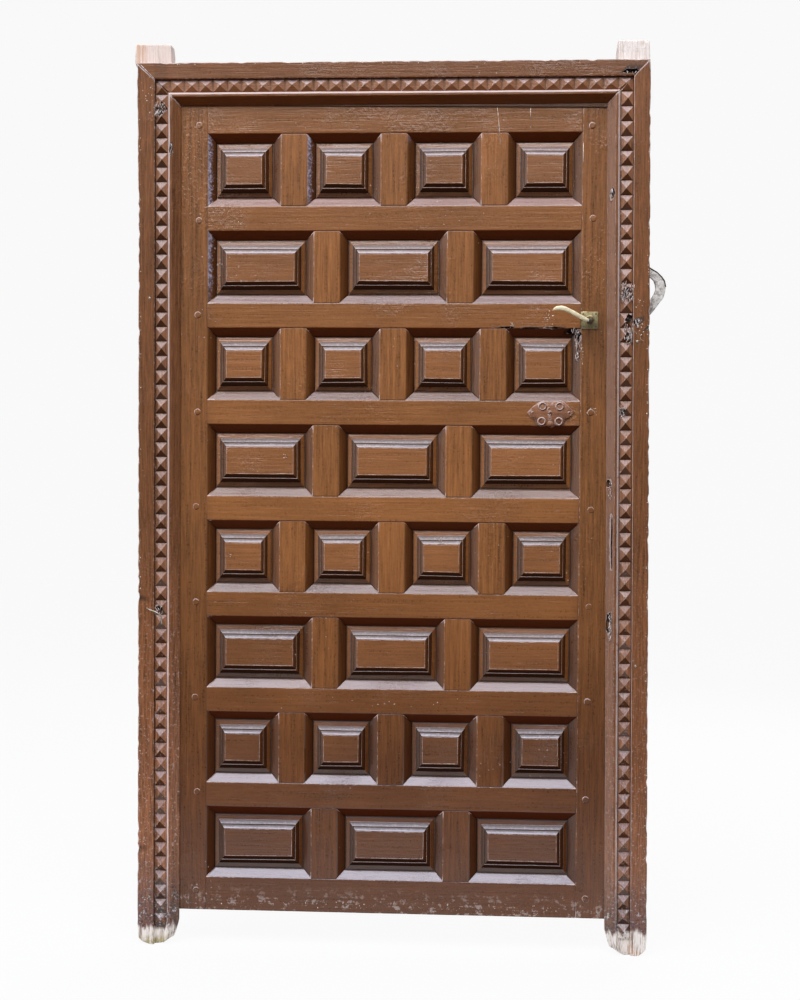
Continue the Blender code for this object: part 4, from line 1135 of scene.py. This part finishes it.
# %% Levers and roses
rose_low, rose_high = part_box("rose_outside")
rose_middle = (rose_low + rose_high) / 2
spindle_x, spindle_z = rose_middle.x, rose_middle.z
blade = (
    (-0.0040, -0.0070), (-0.0137, -0.0058), (-0.0218, -0.0020), (-0.0353, 0.0047), (-0.0488, 0.0126),
    (-0.0623, 0.0179), (-0.0730, 0.0187), (-0.0885, 0.0182), (-0.0851, 0.0238), (-0.0785, 0.0279),
    (-0.0677, 0.0295), (-0.0570, 0.0268), (-0.0408, 0.0193), (-0.0246, 0.0099), (-0.0089, 0.0017),
    (-0.0040, -0.0010),
)
handle_out, handle_thick, neck_drop = 0.047, 0.009, 0.0035
neck_profile = (
    (0.0, 0.0004), (0.0072, 0.0004), (0.0066, 0.030), (0.0070, 0.046), (0.0056, 0.0500), (0.0, 0.0510),
)
collar_profile = (
    (0.0075, 0.0031), (0.0115, 0.0031), (0.0108, 0.0050), (0.0080, 0.0053), (0.0075, 0.0031),
)
rose_half, rose_thick, rose_gap = 0.020, 0.003, 0.0003
leaf_sides = (("outside", face_y, -1), ("inside", back_y, 1))
for name, surface, outward in leaf_sides:
    outline = [(spindle_x + x, spindle_z + z) for x, z in blade]
    handle_front = surface + outward * handle_out - handle_thick / 2
    handle = plate(outline, handle_front, handle_thick, 0.0026, 3)
    neck = seated(neck_profile, outward, (spindle_x, surface, spindle_z - neck_drop))
    piece("handle_" + name, [handle], "lever", pale_cast, ["lever_" + name])
    piece("handle_neck_" + name, [neck], "lever", shaded_neck_bronze, ["lever_" + name])
    corners = [(-1, -1), (1, -1), (1, 1), (-1, 1)]
    outline = [(spindle_x + x * rose_half, spindle_z + z * rose_half) for x, z in corners]
    rose_front = surface + outward * rose_gap - (rose_thick if outward < 0 else 0.0)
    base = plate(outline, rose_front, rose_thick, 0.0007)
    collar = seated(collar_profile, outward, (spindle_x, surface, spindle_z))
    piece("square_rose_" + name, [base, collar], "leaf", rose_brass, ["rose_" + name])

# %% [markdown]
# ## Wall anchor
# A bowed strip of iron on the outer edge once held the frame in the wall. Its upper edge has stayed dark. That
# edge is a thin rod, bridged from ring to ring along the first points of the bow, and the same kind of rod
# makes the scroll, hook and drips below.


# %% Rods
def rod(points, radius, sides=8):
    """A round rod along a path of points."""
    bm = bmesh.new()
    path = [Vector(point) for point in points]
    last = len(path) - 1
    behind = []
    for k, point in enumerate(path):
        ahead = path[min(k + 1, last)] - path[max(k - 1, 0)]
        turn = ahead.to_track_quat("Z", "Y").to_matrix().to_4x4()
        ring = bmesh.ops.create_circle(
            bm, cap_ends=k in (0, last), segments=sides, radius=radius, matrix=Matrix.Translation(point) @ turn
        )["verts"]
        edges = [edge for edge in bm.edges if edge.verts[0] in ring and edge.verts[1] in ring]
        if behind:
            bmesh.ops.bridge_loops(bm, edges=behind + edges)
        behind = edges
    bmesh.ops.recalc_face_normals(bm, faces=bm.faces)
    return bm


print("rods of six or eight sides")

# %% Anchor
bow = [
    (0.5920, 1.6045), (0.6120, 1.5925), (0.6230, 1.5820), (0.6294, 1.5727), (0.6325, 1.5588), (0.6310, 1.5460),
    (0.6275, 1.5334), (0.6169, 1.5195), (0.6050, 1.5030), (0.5925, 1.4880), (0.5925, 1.5120), (0.5965, 1.5281),
    (0.6051, 1.5419), (0.6085, 1.5520), (0.6079, 1.5623), (0.6040, 1.5730), (0.5920, 1.5840),
]
upper_edge = bow[:5]
anchor_low, anchor_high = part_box("wall_anchor")
loop = plate(bow, anchor_low.y, anchor_high.y - anchor_low.y, 0.0022)
piece("bowed_anchor", [loop], "frame", anchor_iron, ["wall_anchor"])
dark_lip = rod([(x, anchor_low.y, z) for x, z in upper_edge], 0.0013, 6)
piece("anchor_lip", [dark_lip], "frame", hinge_iron, ["wall_anchor"])

# %% [markdown]
# ## Keyhole plate
# A pointed plate of iron, painted over with the door. Under the paint its relief shows as four rings, a few
# lobes and a small scroll. The base is an outline with rounded edges, and the relief is turned and laid on it.

# %% Base and relief
plate_low, plate_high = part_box("escutcheon")
plate_middle = (plate_low + plate_high) / 2
plate_thick = 0.003
plate_front = plate_high.y - plate_thick
relief_seat = plate_front + 0.0002
outline = [
    (0.3146, 1.2663), (0.3308, 1.2828), (0.3403, 1.2897), (0.3526, 1.2935), (0.3663, 1.2915), (0.3799, 1.2920),
    (0.3935, 1.2946), (0.4045, 1.2867), (0.4128, 1.2791), (0.4238, 1.2668), (0.4103, 1.2531), (0.4049, 1.2519),
    (0.4005, 1.2402), (0.3887, 1.2338), (0.3800, 1.2352), (0.3723, 1.2307), (0.3613, 1.2350), (0.3477, 1.2327),
    (0.3357, 1.2404), (0.3325, 1.2518), (0.3257, 1.2526),
]
scroll_path = (
    (0.3664, 1.2775), (0.3628, 1.2758), (0.3626, 1.2720), (0.3650, 1.2693), (0.3690, 1.2668), (0.3708, 1.2632),
    (0.3690, 1.2600), (0.3652, 1.2594), (0.3624, 1.2619),
)
ring_profile = ((0.0058, 0.0), (0.0062, 0.0014), (0.0080, 0.0019), (0.0098, 0.0014), (0.0104, 0.0))
pin_profile = ((0.0, 0.0012), (0.0018, 0.0010), (0.0030, 0.0))
relief = [plate(outline, plate_front, plate_thick, 0.0008)]
relief.append(rod([(x, plate_front, z) for x, z in scroll_path], 0.0013, 6))
for x, z in ((-0.0178, 0.0165), (0.0222, 0.0165), (-0.0195, -0.0185), (0.0203, -0.0185)):
    relief.append(turned(ring_profile, (plate_middle.x + x, relief_seat, plate_middle.z + z), 20))
for z, radius in ((-0.024, 0.0075), (0.003, 0.0050)):
    lobe = ((0.0, 0.0018), (radius * 0.6, 0.0014), (radius, 0.0))
    relief.append(turned(lobe, (plate_middle.x, relief_seat, plate_middle.z + z), 16))
for x in (0.3270, 0.4115):
    relief.append(turned(pin_profile, (x, relief_seat, 1.2668), 10))
for part in relief:
    weather(part, 0.0, 0.0002, rub=0.85)
piece("keyhole_plate", relief, "leaf", plate_paint, ["escutcheon"])

# %% [markdown]
# ## Pegs, nails and splinters
# Every rail is held in the stiles by a wooden peg, whose end shows as a ring through the paint. Nails, a bent
# hook and torn fibres sit where the frame was forced. All are small, so each kind is one mesh: turned heads,
# rods, thin cones for the fibres, and flat cones, pulled out of shape, for the scabs of old paint.


# %% Flakes and fibres
def fibres_at(spots, chance):
    """Torn fibres: each spot is a place, how far they spread, and how many."""
    bm = bmesh.new()
    for centre, spread, count in spots:
        for _ in range(count):
            place = [middle + chance.uniform(-0.8, 0.8) * wide for middle, wide in zip(centre, spread)]
            sideways = Matrix.Rotation(chance.uniform(-0.5, 0.5), 4, "Y")
            forwards = Matrix.Rotation(chance.uniform(-0.35, 0.35), 4, "X")
            long = chance.uniform(0.004, 0.015)
            bmesh.ops.create_cone(
                bm, cap_ends=True, segments=4, radius1=chance.uniform(0.0006, 0.0017), radius2=0.0002, depth=long,
                matrix=Matrix.Translation(place) @ sideways @ forwards,
            )
    return bm


def flakes_at(spots, surface, chance):
    """Thin scabs where the top coats came off: each spot is x, z, the spread both ways, and how many."""
    bm = bmesh.new()
    upright = Matrix.Rotation(math.pi / 2, 4, "X")
    for x, z, wide, high, count in spots:
        for _ in range(count):
            flake_x = x + chance.uniform(-0.5, 0.5) * wide
            flake_z = z + chance.uniform(-0.5, 0.5) * high
            place = Matrix.Translation((flake_x, surface - 0.0001, flake_z))
            size = chance.uniform(0.0006, 0.0017)
            shape = Matrix.Diagonal((size, size * chance.uniform(0.5, 1.4), 1.0, 1.0))
            turn = Matrix.Rotation(chance.uniform(0, math.pi), 4, "Z")
            made = bmesh.ops.create_cone(
                bm, cap_ends=True, segments=7, radius1=1.0, radius2=0.7, depth=0.0006,
                matrix=place @ upright @ turn @ shape,
            )["verts"]
            for vert in made:
                vert.co += noise.noise_vector(vert.co * 900.0) * size * 0.6
    return bm


splitter = random.Random(23)
print("fibres and flakes")

# %% Pegs
peg_x = 0.4605
peg_heights = (1.9320, 1.7150, 1.4920, 1.2660, 1.0410, 0.8150, 0.5910, 0.3640, 0.1265)
peg_profile = ((0.0, 0.0009), (0.0054, 0.0009), (0.0072, 0.0006), (0.0086, -0.0006))
pegs = []
for side in (-1, 1):
    for height in peg_heights:
        under_rose = side > 0 and abs(height - spindle_z) < 0.03
        if not under_rose:
            x = side * peg_x + splitter.uniform(-0.004, 0.004)
            z = height + splitter.uniform(-0.003, 0.003)
            pegs.append(weather(turned(peg_profile, (x, face_y, z), 14), 0.0, 0.0006, rub=0.8))
piece("peg_ends", pegs, "leaf", leaf_paint)

# %% Scabs, drips and torn fibres on the leaf
leaf_scabs = flakes_at(
    (
        (0.363, 1.484, 0.030, 0.036, 26), (0.278, 1.470, 0.012, 0.012, 12), (0.464, 1.268, 0.022, 0.018, 16),
        (-0.252, 1.161, 0.006, 0.010, 5), (-0.383, 0.927, 0.010, 0.012, 7), (0.116, 0.965, 0.016, 0.014, 9),
        (0.440, 1.400, 0.006, 0.060, 12), (-0.20, 0.098, 0.40, 0.016, 22), (0.25, 0.100, 0.36, 0.018, 22),
        (-0.36, 1.718, 0.012, 0.044, 9), (0.06, 1.718, 0.30, 0.044, 7), (-0.10, 0.585, 0.60, 0.040, 12),
    ),
    face_y, splitter,
)
drips = [
    rod(((0.2387, face_y, 1.982), (0.2440, face_y, 1.930), (0.2478, face_y, 1.883)), 0.0007, 6),
    rod(((0.3164, face_y, 1.970), (0.3166, face_y, 1.945)), 0.0008, 6),
    rod(((0.4390, face_y, 1.889), (0.4395, face_y, 1.845)), 0.0009, 6),
]
piece("scabs_and_drips", [leaf_scabs] + drips, "leaf", paint_drip)
torn_rim = fibres_at(
    (
        ((0.431, face_y + 0.004, 1.418), (0.007, 0.004, 0.034), 34),
        ((0.425, face_y + 0.003, 1.455), (0.012, 0.003, 0.010), 14),
    ),
    splitter,
)
piece("torn_fibres_leaf", [torn_rim], "leaf", splinter_wood)

# %% Nails and hook on the frame
nail_profile = ((0.0, 0.0020), (0.0022, 0.0016), (0.0034, 0.0), (0.0034, -0.001))
nail_places = ((-0.5705, 1.5294), (-0.5683, 0.1138), (0.5660, 1.4300), (0.5700, 0.6800))
nails = [turned(nail_profile, (x, 0.0, z), 12) for x, z in nail_places]
hook = rod(
    (
        (-0.5770, 0.004, 0.8022), (-0.5740, -0.006, 0.8008), (-0.5640, -0.0105, 0.7968),
        (-0.5518, -0.0110, 0.7926), (-0.5420, -0.0105, 0.7870), (-0.5389, -0.0095, 0.7790),
        (-0.5389, -0.0080, 0.7645),
    ),
    0.0016,
)
piece("nails_and_hook", nails + [hook], "frame", latch_steel)

# %% Torn fibres and scabs on the frame
torn_frame = fibres_at(
    (
        ((0.544, 0.002, 1.545), (0.020, 0.003, 0.026), 60), ((0.549, 0.002, 1.446), (0.016, 0.003, 0.026), 46),
        ((0.568, 0.000, 1.474), (0.010, 0.002, 0.010), 14), ((0.533, 0.003, 1.269), (0.008, 0.003, 0.014), 14),
        ((0.509, 0.006, 1.085), (0.005, 0.003, 0.022), 14), ((0.512, 0.004, 0.770), (0.006, 0.004, 0.040), 34),
        ((0.507, 0.006, 1.768), (0.006, 0.004, 0.018), 16), ((-0.553, 0.003, 1.970), (0.020, 0.003, 0.018), 40),
        ((-0.521, 0.001, 1.877), (0.004, 0.001, 0.018), 14), ((0.546, 0.001, 2.0435), (0.018, 0.001, 0.002), 10),
        ((-0.548, 0.004, 0.800), (0.012, 0.003, 0.012), 12),
    ),
    splitter,
)
mitre = [
    rod(((-0.5955, 0.0, 2.0750), (-0.5780, 0.0, 2.0574), (-0.5592, 0.0, 2.0387)), 0.0008, 6),
    rod(((-0.5270, 0.0, 2.0064), (-0.5182, 0.0, 1.9977), (-0.5020, 0.0140, 1.9815)), 0.0008, 6),
]
frame_scabs = flakes_at(
    (
        (0.571, 1.480, 0.018, 0.100, 26), (-0.577, 2.010, 0.028, 0.070, 14), (-0.573, 0.160, 0.020, 0.120, 34),
    ),
    0.0, splitter,
)
edge_scabs = flakes_at(
    (
        (-0.593, 1.150, 0.004, 1.70, 70), (0.593, 1.000, 0.004, 1.80, 70), (0.0, 2.0735, 1.10, 0.004, 40),
    ),
    0.0, splitter,
)
piece("torn_fibres_frame", [torn_frame] + mitre, "frame", splinter_wood)
piece("scabs_frame", [frame_scabs, settled(edge_scabs)], "frame", paint_drip)

# %% Screws of the roses
screw_profile = ((0.0, 0.0036), (0.0015, 0.0039), (0.0023, 0.0032), (0.0023, 0.0020))
screw_place = 0.0145
screws = []
for _, surface, outward in leaf_sides:
    for x in (-screw_place, screw_place):
        for z in (-screw_place, screw_place):
            screws.append(seated(screw_profile, outward, (spindle_x + x, surface, spindle_z + z), 10))
piece("rose_screws", screws, "leaf", hinge_iron)

# %% [markdown]
# ## Hinges and latch
# These are plain machined pieces, and the measured model already has their shapes. They keep them, and only
# take the finish of old iron or of worn steel.

# %% Finishes for hinges and latch
for name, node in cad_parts.items():
    if name.startswith("hinge_"):
        finish = hinge_iron
    elif name in ("latch_case", "latch_bolt", "spindle"):
        finish = latch_steel
    else:
        continue
    for holder in node.material_slots:
        holder.material = finish
    if not node.material_slots:
        node.data.materials.append(finish)
    print(name, finish.name)

# %% [markdown]
# ## Studio
# A pale floor and backdrop, and large soft lamps. The widest lamp hangs in front and above, as the sky did, so
# that the slopes that look up take its light. The floor glows a little to the eye, which keeps it nearly white
# without more light on the door.


# %% Floor and backdrop
def pale_surface(name):
    finish, shader, pot = new_finish(name, Base_Color=colour(0.62, 0.62, 0.62), Roughness=0.9)
    outputs = pot.node("ShaderNodeLightPath").socket.node.outputs
    kinds = ("Is Camera Ray", "Is Glossy Ray", "Is Transmission Ray")
    eye_ray, gloss_ray, clear_ray = [Wire(pot.tree, outputs[kind]) for kind in kinds]
    share = fade(eye_ray + gloss_ray + clear_ray, 0.0, 1.0) * 0.93
    glow = pot.node("ShaderNodeEmission", None, {"Color": colour(1, 1, 1), "Strength": 1.0})
    both = pot.node("ShaderNodeMixShader", None, {0: share, 1: Wire(pot.tree, shader.outputs[0]), 2: glow})
    pot.tree.links.new(both.socket, pot.tree.nodes["Material Output"].inputs["Surface"])
    return finish


half_width, near_y, far_y, wall_top = 6, -1.0, 10, 7
pale = pale_surface("pale_sweep")
for name, edge_start, edge_end in (
    ("floor", (near_y, 0), (far_y, 0)),
    ("backdrop", (far_y, 0), (far_y, wall_top)),
):
    bm = bmesh.new()
    corners = [(-half_width, *edge_start), (half_width, *edge_start), (half_width, *edge_end), (-half_width, *edge_end)]
    bm.faces.new([bm.verts.new(corner) for corner in corners])
    mesh = bpy.data.meshes.new(name)
    bm.to_mesh(mesh)
    bm.free()
    surface = bpy.data.objects.new(name, mesh)
    bpy.context.scene.collection.objects.link(surface)
    mesh.materials.append(pale)
    surface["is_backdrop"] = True
print("floor and backdrop")


# %% Lamps and world
def lamp(name, place, aim, wide, high, power, tone):
    light = bpy.data.lights.new(name, "AREA")
    light.shape = "RECTANGLE"
    light.size, light.size_y = wide, high
    light.energy = power
    light.color = tone
    holder = bpy.data.objects.new(name, light)
    bpy.context.scene.collection.objects.link(holder)
    holder.location = place
    holder.rotation_euler = (Vector(aim) - Vector(place)).to_track_quat("-Z", "Y").to_euler()


lamp("sky_panel", (-0.5, -2.9, 5.6), (0.0, 0.0, 1.0), 6.0, 3.8, 430, (0.92, 0.95, 1.0))
lamp("left_panel", (-3.4, -1.6, 1.8), (0.0, 0.0, 1.1), 1.6, 2.6, 22, (0.95, 0.97, 1.0))
lamp("back_fill", (1.5, 3.2, 2.6), (0.0, 0.0, 1.1), 3.0, 2.0, 70, (1.0, 1.0, 1.0))
world = bpy.data.worlds.new("studio")
bpy.context.scene.world = world
world.use_nodes = True
air = Wire(world.node_tree)
east, _, height = axes(air.node("ShaderNodeTexCoord", out="Generated"))
level = 0.06 + fade(height, -0.30, 0.40) * 0.30 * (1 - fade(east, 0.1, 0.9) * 0.6)
background = world.node_tree.nodes["Background"]
world.node_tree.links.new(level.socket, background.inputs["Strength"])
background.inputs["Color"].default_value = colour(0.97, 0.98, 1.0)
print("lamps: 3")

# %% [markdown]
# ## Camera
# The lens and the place were found from the corners of the panels, so that the same lines fall on the same
# spots. The angles are yaw, pitch and roll, and the lens is its length in pixels of a picture 1000 high.

# %% Camera
yaw, pitch, roll = -0.0581, -0.0298, 0.0065
eye_place = (0.230, -3.6, 1.168)
lens_pixels, picture_height, film_width = 1547.6, 1000, 36.0
forward = Vector((math.sin(yaw) * math.cos(pitch), math.cos(yaw) * math.cos(pitch), math.sin(pitch)))
right = Vector((math.cos(yaw), -math.sin(yaw), 0.0))
above = right.cross(forward)
level_right = math.cos(roll) * right + math.sin(roll) * above
level_up = math.cos(roll) * above - math.sin(roll) * right
eye = bpy.data.cameras.new("eye")
eye.sensor_width = film_width
eye.lens = lens_pixels / picture_height * film_width
viewer = bpy.data.objects.new("eye", eye)
bpy.context.scene.collection.objects.link(viewer)
turn = Matrix((level_right, level_up, -forward)).transposed().to_4x4()
viewer.matrix_world = Matrix.Translation(eye_place) @ turn
bpy.context.scene.camera = viewer
bpy.context.scene.view_settings.view_transform = "Standard"
print(f"lens {eye.lens:.1f} mm")

# %% [markdown]
# ## Sizes
# Last, the box of the finished door is printed.

# %% Sizes
bpy.context.view_layer.update()
low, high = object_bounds()
print("visual box", [round(v, 4) for v in low], [round(v, 4) for v in high])
